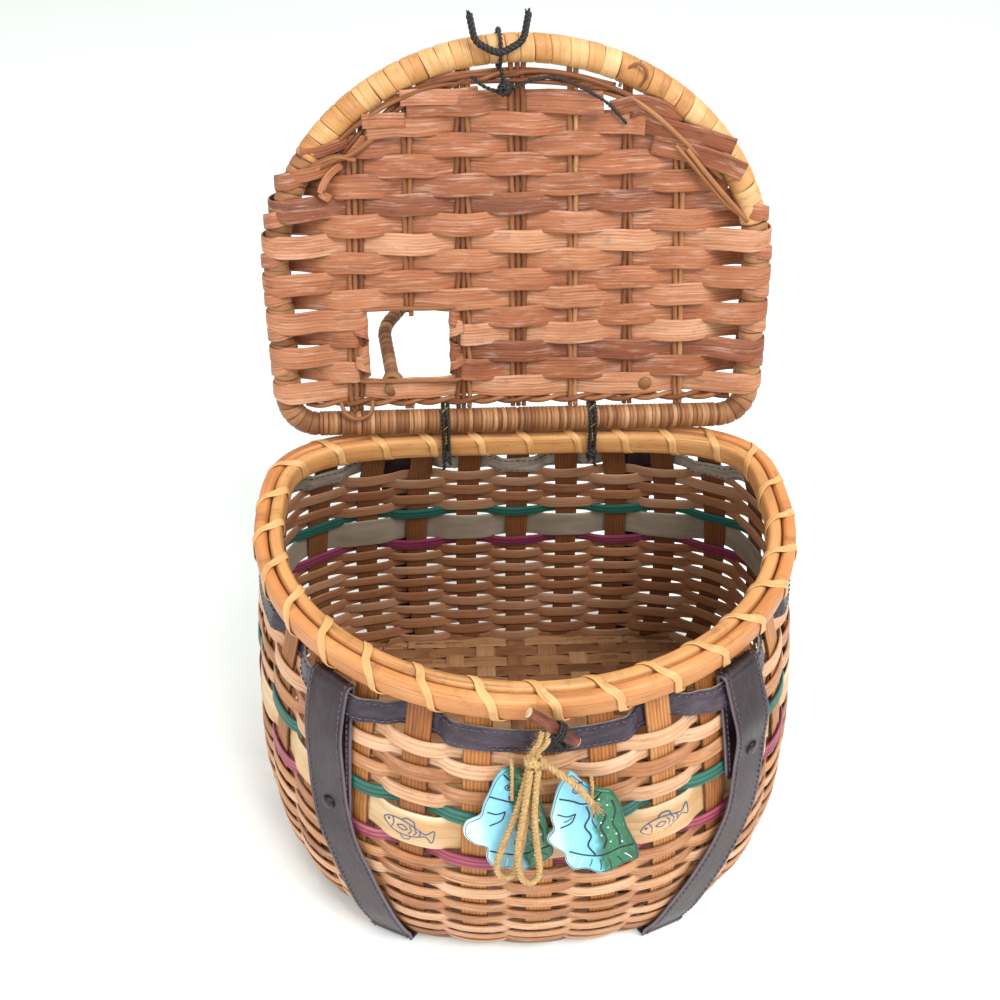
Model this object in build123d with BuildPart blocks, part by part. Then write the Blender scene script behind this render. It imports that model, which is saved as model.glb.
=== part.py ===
from build123d import *
import os
from math import sin, cos, tan, acos, pi, radians, degrees, atan2, hypot, sqrt

os.makedirs("parts", exist_ok=True)

# ---------------------------------------------------------------- dimensions
RIM_TOP = 190.0          # top of the rim hoops above the ground
RIM_H = 13.5             # height of the rim hoops
HOOP_T = 6.0             # radial thickness of each hoop
STAKE_W = 14.0           # flat reed stake, width
STAKE_T = 2.4            # flat reed stake, thickness
N_STAKES = 28
WEAVE_HALF = 3.2         # half thickness of the woven wall
Y_WIDE = 33.0            # plan: where the sides are widest
BACK_E = 0.5             # plan: back corner squareness
LEATHER_T = 2.0
STRAP_W = 25.0
BAND_TOP, BAND_BOT = 18.9, 31.9          # leather band, depth below the rim top
ROW_LEVELS = {                           # woven zones, depth below the rim top
    "upper_weave": (32.0, 66.8),
    "green_row": (67.0, 73.0),
    "wide_band": (73.2, 94.4),
    "magenta_row": (94.6, 101.4),
    "lower_weave": (101.6, 184.6),
}
BASE_LOW, BASE_HIGH = 0.0, 6.6           # woven base, heights above the ground
LID_ROD = 7.5                            # radius of the wrapped lid border
LID_CORE = 6.4                           # radius of the rod under the wrapping
LID_HALF = 131.0                         # border centreline half width
LID_LEN = 200.0                          # hinge rod to front of border, centrelines
LID_S0 = 84.0                            # where the arch of the lid starts
LID_CORNER = 16.0
LEAN = 15.0                              # open lid leans back past upright
HINGE_Y = 98.0
HINGE_Z = RIM_TOP + 1.1 + LID_ROD + 0.3
LID_WEAVE_HALF = 3.0
HOLE_X0, HOLE_X1 = -87.0, -35.0          # fish hole in the lid
HOLE_S0, HOLE_S1 = 25.8, 66.6

# wall profile: depth below rim top -> half width, front y, back y, front squareness
DEPTHS = [0.0, 14.0, 47.0, 95.0, 133.0, 165.0, 190.0]
HALF_W = [137.0, 138.0, 145.0, 150.5, 152.5, 149.5, 141.0]
FRONT = [-98.0, -99.2, -112.5, -122.5, -125.5, -122.0, -113.0]
BACK = [98.5, 99.1, 106.5, 113.0, 114.6, 112.5, 107.0]
SQUARE = [1.0, 1.0, 0.97, 0.92, 0.88, 0.84, 0.8]


def interp(t, xs, ys):
    """smooth cubic (Catmull-Rom on uneven knots) through the profile"""
    if t <= xs[0]:
        return ys[0]
    if t >= xs[-1]:
        return ys[-1]
    i = max(k for k in range(len(xs) - 1) if xs[k] <= t)
    def slope(k):
        if k == 0:
            return (ys[1] - ys[0]) / (xs[1] - xs[0])
        if k == len(xs) - 1:
            return (ys[-1] - ys[-2]) / (xs[-1] - xs[-2])
        return (ys[k + 1] - ys[k - 1]) / (xs[k + 1] - xs[k - 1])
    h = xs[i + 1] - xs[i]
    s = (t - xs[i]) / h
    return ((2 * s**3 - 3 * s**2 + 1) * ys[i] + (s**3 - 2 * s**2 + s) * h * slope(i)
            + (-2 * s**3 + 3 * s**2) * ys[i + 1] + (s**3 - s**2) * h * slope(i + 1))


def plan(depth, off, n=720):
    """dense plan outline at a depth below the rim, offset outward by off"""
    a = interp(depth, DEPTHS, HALF_W) + off
    f = Y_WIDE - interp(depth, DEPTHS, FRONT) + off
    b = interp(depth, DEPTHS, BACK) - Y_WIDE + off
    e = interp(depth, DEPTHS, SQUARE)
    pts = []
    for k in range(n):
        th = -pi / 2 + 2 * pi * k / n
        c, s = cos(th), sin(th)
        ex = e if s < 0 else BACK_E
        x = a * (abs(c) ** ex) * (1 if c > 0 else -1)
        y = Y_WIDE + (f if s < 0 else b) * (abs(s) ** ex) * (1 if s > 0 else -1)
        pts.append((x, y))
    return pts


_cache = {}


def ring_table(depth, off):
    key = (round(depth, 3), round(off, 3))
    if key not in _cache:
        p = plan(depth, off)
        L = [0.0]
        for k in range(len(p)):
            q = p[(k + 1) % len(p)]
            L.append(L[-1] + hypot(q[0] - p[k][0], q[1] - p[k][1]))
        _cache[key] = (p, L)
    return _cache[key]


def at(depth, u, off=0.0):
    """point, tangent and outward normal at arc fraction u (0 = front centre,
    turning towards +X), depth below the rim, offset from the wall's middle"""
    p, L = ring_table(depth, 0.0)
    s = (u % 1.0) * L[-1]
    lo, hi = 0, len(p)
    while hi - lo > 1:
        m = (lo + hi) // 2
        if L[m] <= s:
            lo = m
        else:
            hi = m
    a, b = p[lo], p[(lo + 1) % len(p)]
    f = (s - L[lo]) / (L[lo + 1] - L[lo])
    a0, b1 = p[lo - 1], p[(lo + 2) % len(p)]
    ta = (b[0] - a0[0], b[1] - a0[1])
    tb = (b1[0] - a[0], b1[1] - a[1])
    la, lb = hypot(*ta), hypot(*tb)
    t = (ta[0] / la * (1 - f) + tb[0] / lb * f, ta[1] / la * (1 - f) + tb[1] / lb * f)
    l = hypot(*t)
    t = (t[0] / l, t[1] / l)
    nrm = (t[1], -t[0])
    x = a[0] + (b[0] - a[0]) * f + nrm[0] * off
    y = a[1] + (b[1] - a[1]) * f + nrm[1] * off
    return (x, y), t, nrm


def ring_points(depth, off, n=56):
    return [at(depth, k / n, off)[0] for k in range(n)]


def Z(depth):
    return RIM_TOP - depth


def ring_sketch(depth, off, n=56):
    with BuildSketch(Plane.XY.offset(Z(depth))) as sk:
        with BuildLine():
            Spline(*ring_points(depth, off, n), periodic=True)
        make_face()
    return sk.sketch


def save(part, label):
    part.label = label
    export_step(part, f"parts/{label}.step")
    bb = part.bounding_box()
    print(f"{label:22s} solids {len(part.solids()):3d} vol {part.volume:10.1f} "
          f"box {bb.min.X:.1f} {bb.min.Y:.1f} {bb.min.Z:.1f} / {bb.max.X:.1f} {bb.max.Y:.1f} {bb.max.Z:.1f} valid {part.is_valid}")


# ---------------------------------------------------------------- stakes
# upright flat reeds, one every 1/28 of the way round, from the base to the rim
STAKE_LEVELS = [1.2, 14.0, 22.0, 32.0, 47.0, 75.0, 95.0, 115.0, 133.0, 150.0, 165.0, 184.6]


def stake_at(u, grow=0.0):
    with BuildPart() as st:
        for d in STAKE_LEVELS:
            (x, y), t, n = at(d, u)
            with BuildSketch(Plane.XY.offset(Z(d))):
                with Locations((x, y)):
                    Rectangle(STAKE_W + 2 * grow, STAKE_T + 2 * grow, rotation=degrees(atan2(t[1], t[0])))
        loft()
    return st.part


stake_solids = [stake_at(k / N_STAKES) for k in range(N_STAKES)]
slot_solids = [stake_at(k / N_STAKES, 0.08) for k in range(N_STAKES)]
with BuildPart() as stakes:
    for s in stake_solids:
        add(s)
save(stakes.part, "wall_stakes")

# ---------------------------------------------------------------- woven wall
for label, (d0, d1) in ROW_LEVELS.items():
    n = max(2, int((d1 - d0) / 18) + 1)
    levels = [d1 - (d1 - d0) * k / n for k in range(n + 1)]
    with BuildPart() as zone:
        for d in levels:
            with BuildSketch(Plane.XY.offset(Z(d))):
                with BuildLine():
                    Spline(*ring_points(d, WEAVE_HALF), periodic=True)
                make_face()
        loft()
        for d in levels:
            with BuildSketch(Plane.XY.offset(Z(d))):
                with BuildLine():
                    Spline(*ring_points(d, -WEAVE_HALF), periodic=True)
                make_face()
        loft(mode=Mode.SUBTRACT)
        for s in slot_solids:
            add(s, mode=Mode.SUBTRACT)
    save(zone.part, label)

# ---------------------------------------------------------------- rim
# an outer and an inner hoop clamp the stake tops; cane binder goes over both
for label, o_in, o_out in (("rim_outer_hoop", 2.1, 1.5 + HOOP_T), ("rim_inner_hoop", -1.5 - HOOP_T, -2.1)):
    with BuildPart() as hoop:
        for d in (RIM_H, 0.0):
            with BuildSketch(Plane.XY.offset(Z(d))):
                with BuildLine():
                    Spline(*ring_points(d, o_out), periodic=True)
                make_face()
        loft(ruled=True)
        for d in (RIM_H, 0.0):
            with BuildSketch(Plane.XY.offset(Z(d))):
                with BuildLine():
                    Spline(*ring_points(d, o_in), periodic=True)
                make_face()
        loft(ruled=True, mode=Mode.SUBTRACT)
    save(hoop.part, label)

# one slanting cane wrap in each gap between stakes, round both hoops
WRAP_W, WRAP_T = 4.2, 0.9
HB = 1.5 + HOOP_T + 0.1
with BuildPart() as binding:
    for k in range(N_STAKES):
        u = (k + 0.5) / N_STAKES + {12: -0.0066, 15: 0.0066}.get(k, 0.0)     # stand aside for the hinge ties
        (x, y), t, n = at(0, u)
        (xl, yl), tl_, nl = at(RIM_H, u)
        flare = (xl - x) * n[0] + (yl - y) * n[1]          # how far the foot of the rim stands out
        pl = Plane(origin=(x, y, RIM_TOP), x_dir=(t[1], -t[0], 0), z_dir=(t[0], t[1], 0))
        up = 1 if pl.y_dir.Z > 0 else -1
        with BuildSketch(pl) as ws:
            for grow, m in ((WRAP_T, Mode.ADD), (0.0, Mode.SUBTRACT)):
                hi, lo, hw = (0.1 + grow) * up, (-RIM_H - 0.1 - grow) * up, HB + grow
                with BuildLine():
                    Polyline((-hw, hi), (hw, hi), (hw + flare, lo), (-hw + flare, lo), close=True)
                make_face(mode=m)
                if grow:
                    fillet(ws.vertices(), 1.3)
        extrude(amount=WRAP_W / 2, both=True)
save(binding.part, "rim_binding")

# ---------------------------------------------------------------- leather band
BEHIND = {2, 5, 8, 10, 14, 18, 20, 23, 26}       # stakes the band passes behind
PITCH = 1.0 / N_STAKES
MID_L = ring_table(0, 0)[1][-1]


def u_of_x(x, depth, front=True):
    """arc fraction of the wall point with this x on the front or back side"""
    lo, hi = (0.0, 0.25) if front else (0.25, 0.5)
    for _ in range(40):
        m = (lo + hi) / 2
        xm = at(depth, m)[0][0]
        if (xm < abs(x)) == front:
            lo = m
        else:
            hi = m
    m = (lo + hi) / 2
    return m if x > 0 else 1 - m


STRAP_U = {"left": (u_of_x(-94, 25), u_of_x(-71, 25, False)),
           "right": (u_of_x(94, 25), u_of_x(71, 25, False))}
LIFTS = [u for pair in STRAP_U.values() for u in pair]


def smooth(v):
    v = max(0.0, min(1.0, v))
    return v * v * (3 - 2 * v)


def band_offset(u):
    k = round(u * N_STAKES)
    ks = [j % N_STAKES for j in (k - 1, k, k + 1)]
    val = 2.95
    for j in ks:
        if j in BEHIND:
            du = abs((u - j / N_STAKES + 0.5) % 1.0 - 0.5) * MID_L
            w = 1 - smooth((du - STAKE_W / 2 - 0.8) / 10.0)
            val = val * (1 - w) + (-2.6) * w
    for us in LIFTS:
        du = abs((u - us + 0.5) % 1.0 - 0.5) * MID_L
        w = 1 - smooth((du - STRAP_W / 2 - 1.2) / 13.0)
        val = val * (1 - w) + 7.3 * w
    return val


def band_points(depth, side, n=196):
    out = []
    for k in range(n):
        u = k / n
        out.append(at(depth, u, band_offset(u) + side * 0.9)[0])
    return out


with BuildPart() as band:
    for d in (BAND_BOT, BAND_TOP):
        with BuildSketch(Plane.XY.offset(Z(d))):
            with BuildLine():
                Spline(*band_points(d, 1), periodic=True)
            make_face()
    loft(ruled=True)
    for d in (BAND_BOT, BAND_TOP):
        with BuildSketch(Plane.XY.offset(Z(d))):
            with BuildLine():
                Spline(*band_points(d, -1), periodic=True)
            make_face()
    loft(ruled=True, mode=Mode.SUBTRACT)

# ---------------------------------------------------------------- straps
# each strap: inner tail, fold over the band, down the front, under the base,
# up the back, fold over the band, inner tail.  (depth, x, offset)
FRONT_RUN = {
    "left": [(30, -95, 10.0, 0), (45, -98, 8.6, 0), (65, -99, 7.4, 0), (86, -99, 6.8, 0), (104, -96.5, 6.8, 0),
             (122, -92.5, 5.4, 0), (140, -88, 4.8, 0), (158, -83, 4.8, 0), (172, -79, 4.8, 0), (182, -76.5, 4.8, 0)],
    "right": [(30, 95, 11.0, 0), (45, 98, 12.0, 0), (62, 101, 8.6, 0), (75, 101, 8.2, 0), (96, 100, 7.6, 0),
              (114, 95, 6.6, 0), (134, 87, 5.4, 0), (152, 79, 4.8, 0), (168, 73, 4.8, 0), (182, 69, 4.8, 0)],
}
TAIL_END = {"left": 97.0, "right": 78.0}
RIVET_DEPTH = {"left": 86.0, "right": 62.0}
BACK_RUN = [(30, 71, 10.0, 0), (50, 71, 7.4, 0), (70, 71, 6.8, 0), (92, 71, 6.8, 0), (110, 71, 5.2, 0), (130, 71, 4.8, 0),
            (150, 71, 4.8, 0), (168, 71, 4.8, 0), (182, 71, 4.8, 0)]


def station(depth, x, off, sq, front=True):
    u = u_of_x(x, depth, front)
    (px, py), t, n = at(depth, u, off)
    if not front:
        t = (-t[0], -t[1])
    wx, wy = t[0] * (1 - sq) + sq, t[1] * (1 - sq)
    l = hypot(wx, wy)
    return (px, py, Z(depth)), (wx / l, wy / l, 0.0)


def fold(side, front, x0):
    """hairpin over the leather band at the top of a run, tail side first"""
    u = u_of_x(x0, 25, front)
    pts = []
    for a in (180, 150, 120, 90, 60, 30, 0):
        off = 7.2 + 2.8 * cos(radians(a))
        dep = 18.75 - 2.8 * sin(radians(a))
        (px, py), t, n = at(18.75, u, off)
        if not front:
            t = (-t[0], -t[1])
        pts.append(((px, py, Z(dep)), (t[0], t[1], 0.0)))
    return pts


def strap_path(side):
    sg = -1 if side == "left" else 1
    x0 = 94 * sg
    run = FRONT_RUN[side]
    p = []
    # inner tail from its cut end up to the fold
    for d in (TAIL_END[side], RIVET_DEPTH[side], 48, 32):
        x = run[0][1] + (run[3][1] - run[0][1]) * (d - 30) / (run[3][0] - 30)
        p.append(station(d, x, 4.4 if d < 40 else 4.6, 0))
    p += fold(side, True, x0)
    p += [station(*r) for r in run]
    # square to the wall round the bottom edge, then straight under the base
    (bx, by, bz), w = p[-1]
    (ex, ey, ez), w2 = station(182, 71 * sg, 4.8, 0.0, False)
    nb, ne = (-w[1], w[0]), (w2[1], -w2[0])          # inward, front and back
    nb = nb if nb[1] > 0 else (-nb[0], -nb[1])
    ne = ne if ne[1] < 0 else (-ne[0], -ne[1])
    for q, z in ((0.1, 5.0), (0.7, 3.2), (1.9, 1.7), (4.0, 1.0)):
        p.append(((bx + nb[0] * q, by + nb[1] * q, z), w))
    fx, fy = bx + nb[0] * 8.0, by + nb[1] * 8.0
    gx, gy = ex + ne[0] * 8.0, ey + ne[1] * 8.0
    p.append(((fx, fy, 1.0), w))
    for f in (0.15, 0.4, 0.6, 0.85):
        p.append(((fx + (gx - fx) * f, fy + (gy - fy) * f, 1.0), (1.0, 0.0, 0.0)))
    p.append(((gx, gy, 1.0), w2))
    for q, z in ((4.0, 1.0), (1.9, 1.7), (0.7, 3.2), (0.1, 5.0)):
        p.append(((ex + ne[0] * q, ey + ne[1] * q, z), w2))
    for d, x, o, q in reversed(BACK_RUN):
        p.append(station(d, x * sg, o, q, False))
    p += list(reversed(fold(side, False, 71 * sg)))
    for d in (32, 50, 70, 84):
        p.append(station(d, 71 * sg, 4.4 if d < 40 else 4.6, 0, False))
    return p


def vsub(a, b):
    return (a[0] - b[0], a[1] - b[1], a[2] - b[2])


def unit(a):
    l = sqrt(a[0]**2 + a[1]**2 + a[2]**2)
    return (a[0] / l, a[1] / l, a[2] / l)


def dot(a, b):
    return a[0] * b[0] + a[1] * b[1] + a[2] * b[2]


def frames(p):
    out = []
    for k, (o, w) in enumerate(p):
        a = p[max(0, k - 1)][0]
        b = p[min(len(p) - 1, k + 1)][0]
        if 0 < k < len(p) - 1:
            d1, d2 = unit(vsub(o, a)), unit(vsub(b, o))
            t = unit((d1[0] + d2[0], d1[1] + d2[1], d1[2] + d2[2]))
            c = max(0.75, dot(d1, t))
        else:
            t, c = unit(vsub(b, a)), 1.0
        w = unit(vsub(w, tuple(dot(w, t) * q for q in t)))
        out.append((o, w, t, c))
    return out


rivet_holes = []
strap_parts = {}
strap_lines = []
rivet_planes = {}
for side in ("left", "right"):
    fr = frames(strap_path(side))
    low = [o for o, w, t, c in fr if o[2] < 1.1]
    strap_lines.append(((low[0][0], low[0][1]), (low[-1][0], low[-1][1])))
    with BuildPart() as strap:
        for o, w, t, c in fr:
            with BuildSketch(Plane(origin=o, x_dir=w, z_dir=t)):
                Rectangle(STRAP_W, LEATHER_T / c)
        loft(ruled=True)
    # rivet axis: outward normal of the outer run at the rivet
    run = FRONT_RUN[side]
    k = [i for i, r in enumerate(run) if r[0] == RIVET_DEPTH[side]][0] + 4 + 7
    o, w, t, c = fr[k]
    nn = unit((w[1] * t[2] - w[2] * t[1], w[2] * t[0] - w[0] * t[2], w[0] * t[1] - w[1] * t[0]))
    if nn[1] > 0:
        nn = tuple(-q for q in nn)
    rivet_planes[side] = Plane(origin=o, x_dir=w, z_dir=nn)
    with BuildPart() as holed:
        add(strap.part)
        with BuildSketch(rivet_planes[side].offset(-5.4)):
            Circle(1.6)
        extrude(amount=8.0, mode=Mode.SUBTRACT)
    strap_parts[side] = holed.part
    save(holed.part, f"strap_{side}")

with BuildPart() as rivets:
    for side in ("left", "right"):
        pl = rivet_planes[side]
        reach = 3.3 if side == "left" else 5.1
        with BuildSketch(pl.offset(-reach)):
            Circle(1.5)
        extrude(amount=reach + 1.5)
        with BuildSketch(pl.offset(1.45)):
            Circle(4.2)
        extrude(amount=1.8, taper=38)
save(rivets.part, "strap_rivets")

# ---------------------------------------------------------------- woven base
def base_part(channels):
    with BuildPart() as base:
        for z, off in ((BASE_LOW, -1.2), (3.4, 2.3)):
            with BuildSketch(Plane.XY.offset(z)):
                with BuildLine():
                    Spline(*ring_points(186.0, off), periodic=True)
                make_face()
        loft(ruled=True)
        with BuildSketch(Plane.XY.offset(3.4)):
            with BuildLine():
                Spline(*ring_points(186.0, 2.3), periodic=True)
            make_face()
        extrude(amount=1.8)
        with BuildSketch(Plane.XY.offset(4.0)):
            with BuildLine():
                Spline(*ring_points(182.0, -4.2), periodic=True)
            make_face()
        extrude(amount=BASE_HIGH - 4.0)
        # shallow channels where the two straps run underneath
        for (xf, yf), (xb, yb) in channels:
            ang = degrees(atan2(yb - yf, xb - xf))
            with BuildSketch(Plane.XY.offset(-1.0)):
                with Locations(((xf + xb) / 2, (yf + yb) / 2)):
                    Rectangle(hypot(xb - xf, yb - yf) + 40, STRAP_W + 6.0, rotation=ang)
            extrude(amount=3.7, mode=Mode.SUBTRACT)
    return base.part


save(base_part(strap_lines), "base_weave")

# ---------------------------------------------------------------- toggle
TOG_X, TOG_Z = 10.5, 166.5               # where its cord comes through the band
STEM_R = 1.4
with BuildPart() as band_holed:
    add(band.part)
    with BuildSketch(Plane(origin=(TOG_X, -90, TOG_Z), x_dir=(1, 0, 0), z_dir=(0, -1, 0))):
        Circle(STEM_R + 0.15)
    extrude(amount=30, mode=Mode.SUBTRACT)
save(band_holed.part, "leather_band")

STICK_R = 3.0
stick_a, stick_b = (-6.0, -111.5, 191.0), (15.8, -114.6, 172.7)
sd = unit(vsub(stick_b, stick_a))
sl = sqrt(sum(q * q for q in vsub(stick_b, stick_a)))
stick_plane = Plane(origin=stick_a, z_dir=sd)
with BuildPart() as stick:
    with BuildSketch(stick_plane):
        Circle(STICK_R)
    extrude(amount=sl)
    chamfer(stick.edges().filter_by(GeomType.CIRCLE), 0.4)
save(stick.part, "toggle_stick")

mid_f = 0.6
smid = tuple(stick_a[i] + sd[i] * sl * mid_f for i in range(3))
with BuildPart() as tie:
    with BuildLine() as tl:
        FilletPolyline((TOG_X, -99.0, TOG_Z), (TOG_X, -114.8, TOG_Z), (4.4, -114.6, 176.9), radius=3.0)
    with BuildSketch(Plane(origin=(TOG_X, -99.0, TOG_Z), z_dir=(0, -1, 0))):
        Circle(STEM_R)
    sweep(path=tl.line)
    with Locations(Plane(origin=(TOG_X, -100.2, TOG_Z))):
        Sphere(2.2)
    with Locations(Plane(origin=smid, z_dir=sd)):
        Torus(STICK_R + 1.35, 1.3)
save(tie.part, "toggle_tie")

# ---------------------------------------------------------------- charms
TILT = 12.0
ct, stl = cos(radians(TILT)), sin(radians(TILT))
CHARM_T = 2.6


def charm_plane(x, z, off):
    depth = RIM_TOP - z
    u = u_of_x(x, depth)
    y = at(depth, u, 0)[0][1] - off
    return Plane(origin=(x, y, z), x_dir=(1, 0, 0), z_dir=(0, -ct, stl))


CHARM_R = charm_plane(22.74, 141.0, 11.7)
CHARM_L = charm_plane(-13.83, 141.0, 7.2)
# head up, belly fin left, tail fin lower right; origin at the hanging hole
FISH_R = [(-9.74, 17.5), (-3.74, 11), (3.26, 7), (9.26, 5.5), (13.76, -2), (15.76, -10), (17.76, -17),
          (20.76, -24), (23.26, -30), (23.76, -36.5), (17.26, -39.5), (11.26, -44), (5.26, -45.5), (-0.74, -42.5),
          (-6.74, -42.5), (-10.74, -38), (-12.24, -32), (-17.74, -27), (-20.24, -22), (-17.24, -16.5),
          (-18.74, -9), (-17.74, -2), (-16.24, 6), (-13.74, 13)]
FISH_L = [(1.83, 17), (7.83, 10), (11.83, 4), (13.83, -4), (15.83, -12), (17.33, -20), (18.33, -28), (19.83, -36),
          (13.83, -42), (5.83, -46), (-1.17, -44.5), (-8.17, -44), (-12.17, -38), (-12.17, -31), (-18.17, -28),
          (-22.67, -22), (-21.67, -15), (-15.17, -11), (-13.17, -4), (-10.17, 4), (-7.17, 12), (-3.17, 17)]
for label, pl, pts in (("fish_charm_right", CHARM_R, FISH_R), ("fish_charm_left", CHARM_L, FISH_L)):
    with BuildPart() as charm:
        with BuildSketch(pl):
            with BuildLine():
                Spline(*pts, periodic=True)
            make_face()
            Circle(1.35, mode=Mode.SUBTRACT)
        extrude(amount=CHARM_T / 2, both=True)
    save(charm.part, label)

HANG_R = 1.0


def cord_loop(origin, du, dv, hu, v0, v1, rad, r):
    """closed rounded loop of cord: u from -hu to hu, v from v0 to v1"""
    def P(u, v):
        return tuple(origin[i] + du[i] * u + dv[i] * v for i in range(3))
    q = rad * (1 - sqrt(0.5))
    with BuildPart() as lp:
        with BuildLine() as pl_:
            Line(P(0, v0), P(hu - rad, v0))
            ThreePointArc(P(hu - rad, v0), P(hu - q, v0 + q), P(hu, v0 + rad))
            Line(P(hu, v0 + rad), P(hu, v1 - rad))
            ThreePointArc(P(hu, v1 - rad), P(hu - q, v1 - q), P(hu - rad, v1))
            Line(P(hu - rad, v1), P(rad - hu, v1))
            ThreePointArc(P(rad - hu, v1), P(q - hu, v1 - q), P(-hu, v1 - rad))
            Line(P(-hu, v1 - rad), P(-hu, v0 + rad))
            ThreePointArc(P(-hu, v0 + rad), P(q - hu, v0 + q), P(rad - hu, v0))
            Line(P(rad - hu, v0), P(0, v0))
        with BuildSketch(Plane(origin=P(0, v0), z_dir=tuple(du))):
            Circle(r)
        sweep(path=pl_.wire())
    return lp.part


with BuildPart() as hangers:
    for pl, top in ((CHARM_R, 12.4), (CHARM_L, 20.4)):
        add(cord_loop(tuple(pl.origin), tuple(pl.z_dir), tuple(pl.y_dir), CHARM_T / 2 + 0.3 + HANG_R, 0.0, top, 1.25, HANG_R))
save(hangers.part, "charm_hangers")

# ---------------------------------------------------------------- jute twine
TWINE_R = 1.7
KNOT = (-3.8, -117.4, 164.2)
KNOT_R = 4.9
with BuildPart() as knot:
    with Locations(Plane(origin=KNOT)):
        Sphere(KNOT_R)
save(knot.part, "twine_knot")


def tube(label, pts, r, k_rad):
    """plain tube: straight runs joined by tangent arcs, radii from the runs"""
    runs = [vsub(pts[i + 1], pts[i]) for i in range(len(pts) - 1)]
    lens = [sqrt(dot(v, v)) for v in runs]
    radii = []
    for i in range(1, len(pts) - 1):
        c = max(-1.0, min(1.0, dot(unit(runs[i - 1]), unit(runs[i]))))
        turn = acos(c)
        radii.append(0.45 * min(lens[i - 1], lens[i]) / tan(turn / 2))
        assert turn < radians(92), (label, i, degrees(turn))
    print(label, "runs", [round(v, 1) for v in lens], "radii", [round(v, 1) for v in radii])
    with BuildPart() as tb:
        with BuildLine() as ln:
            FilletPolyline(*pts, radius=radii)
        w = ln.wire()
        with BuildSketch(Plane(origin=pts[0], z_dir=unit(runs[0]))):
            Circle(r)
        sweep(path=w)
    print(label, "length", round(w.length, 1), "volume ratio", round(tb.part.volume / (pi * r * r * w.length), 4))
    save(tb.part, label)


tube("twine_loop_left", [(-5.6, -117.6, 161.8), (-11.0, -126.5, 140.0), (-18.4, -131.0, 119.0), (-21.6, -133.6, 106.4),
                         (-20.6, -134.7, 99.6), (-16.6, -135.0, 97.0), (-12.8, -134.8, 100.6), (-11.8, -133.6, 107.4),
                         (-9.2, -130.6, 120.0), (-6.6, -126.4, 141.0), (-2.0, -117.6, 161.6)], TWINE_R, 0.45)
tube("twine_loop_right", [(-5.6, -121.2, 162.2), (-8.4, -129.9, 143.0), (-12.0, -134.4, 121.0), (-11.0, -137.2, 107.0),
                          (-9.4, -137.9, 99.6), (-5.6, -138.0, 96.6), (-1.8, -137.4, 99.8), (-1.0, -136.0, 107.4),
                          (-2.6, -133.2, 121.0), (-4.4, -129.3, 143.0), (-2.0, -121.2, 162.2)], TWINE_R, 0.45)
tube("twine_tail", [(-0.6, -117.4, 165.4), (6.0, -122.4, 162.0), (14.5, -126.4, 158.4), (22.5, -129.4, 147.0)], TWINE_R, 0.45)

# ---------------------------------------------------------------- lid
cl, slr = cos(radians(LEAN)), sin(radians(LEAN))
LID = Plane(origin=(0, HINGE_Y, HINGE_Z), x_dir=(1, 0, 0), z_dir=(0, -cl, slr))   # local x, s (up the lid), z to the inner face


def lid_pt(x, s, z=0.0):
    return (x, HINGE_Y + s * slr - z * cl, HINGE_Z + s * cl + z * slr)


def lid_line(inset=0.0):
    """closed border line: hinge rod, corners, straight sides and an elliptical arch"""
    w, c = LID_HALF - inset, max(1.0, LID_CORNER - inset)
    h = LID_LEN - LID_S0 - inset
    Line((-(w - c), inset), (w - c, inset))
    RadiusArc((w - c, inset), (w, inset + c), -c)
    Line((w, inset + c), (w, LID_S0))
    EllipticalCenterArc((0, LID_S0), w, h, start_angle=0, arc_size=180)
    Line((-w, LID_S0), (-w, inset + c))
    RadiusArc((-w, inset + c), (-(w - c), inset), -c)


with BuildPart() as border:
    with BuildLine(LID) as bl:
        lid_line()
    border_wire = bl.wire()
    with BuildSketch(Plane(origin=lid_pt(0, 0), z_dir=(1, 0, 0))):
        Circle(LID_CORE)
    sweep(path=border_wire)
save(border.part, "lid_border_rod")
with BuildPart() as wrap:
    with BuildSketch(Plane(origin=lid_pt(0, 0), z_dir=(1, 0, 0))):
        Circle(LID_ROD)
    sweep(path=border_wire)
    with BuildSketch(Plane(origin=lid_pt(0, 0), z_dir=(1, 0, 0))):
        Circle(LID_CORE + 0.05)
    sweep(path=border_wire, mode=Mode.SUBTRACT)
save(wrap.part, "lid_border_wrap")

COLS = [(-92.0, -84.0, 9.6), (-62.0, -57.0, 5.4), (-31.0, -28.5, 9.6), (0.0, 0.0, 7.8), (31.0, 28.5, 5.4), (62.0, 57.0, 5.4), (91.0, 84.0, 5.4)]
COL_T = 2.6


def columns(grow, low, inset):
    with BuildPart() as cols:
        for xb, xt, w in COLS:
            ang = degrees(atan2(150.0, xt - xb)) - 90
            xm = xb + (xt - xb) * (100.0 - 20.0) / 150.0
            with BuildSketch(LID.offset(-COL_T / 2 - grow)):
                with Locations((xm, 100.0)):
                    Rectangle(w + 2 * grow, 240.0, rotation=ang)
            extrude(amount=COL_T + 2 * grow)
        with BuildSketch(LID.offset(-COL_T / 2 - grow)) as clip:
            with BuildLine():
                lid_line(inset)
            make_face()
        extrude(amount=COL_T + 2 * grow, mode=Mode.INTERSECT)
        with BuildSketch(LID.offset(-10)):
            with Locations(((HOLE_X0 + HOLE_X1) / 2, (HOLE_S0 + HOLE_S1) / 2)):
                Rectangle(HOLE_X1 - HOLE_X0, HOLE_S1 - HOLE_S0)
        extrude(amount=20, mode=Mode.SUBTRACT)
    return cols.part


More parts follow.
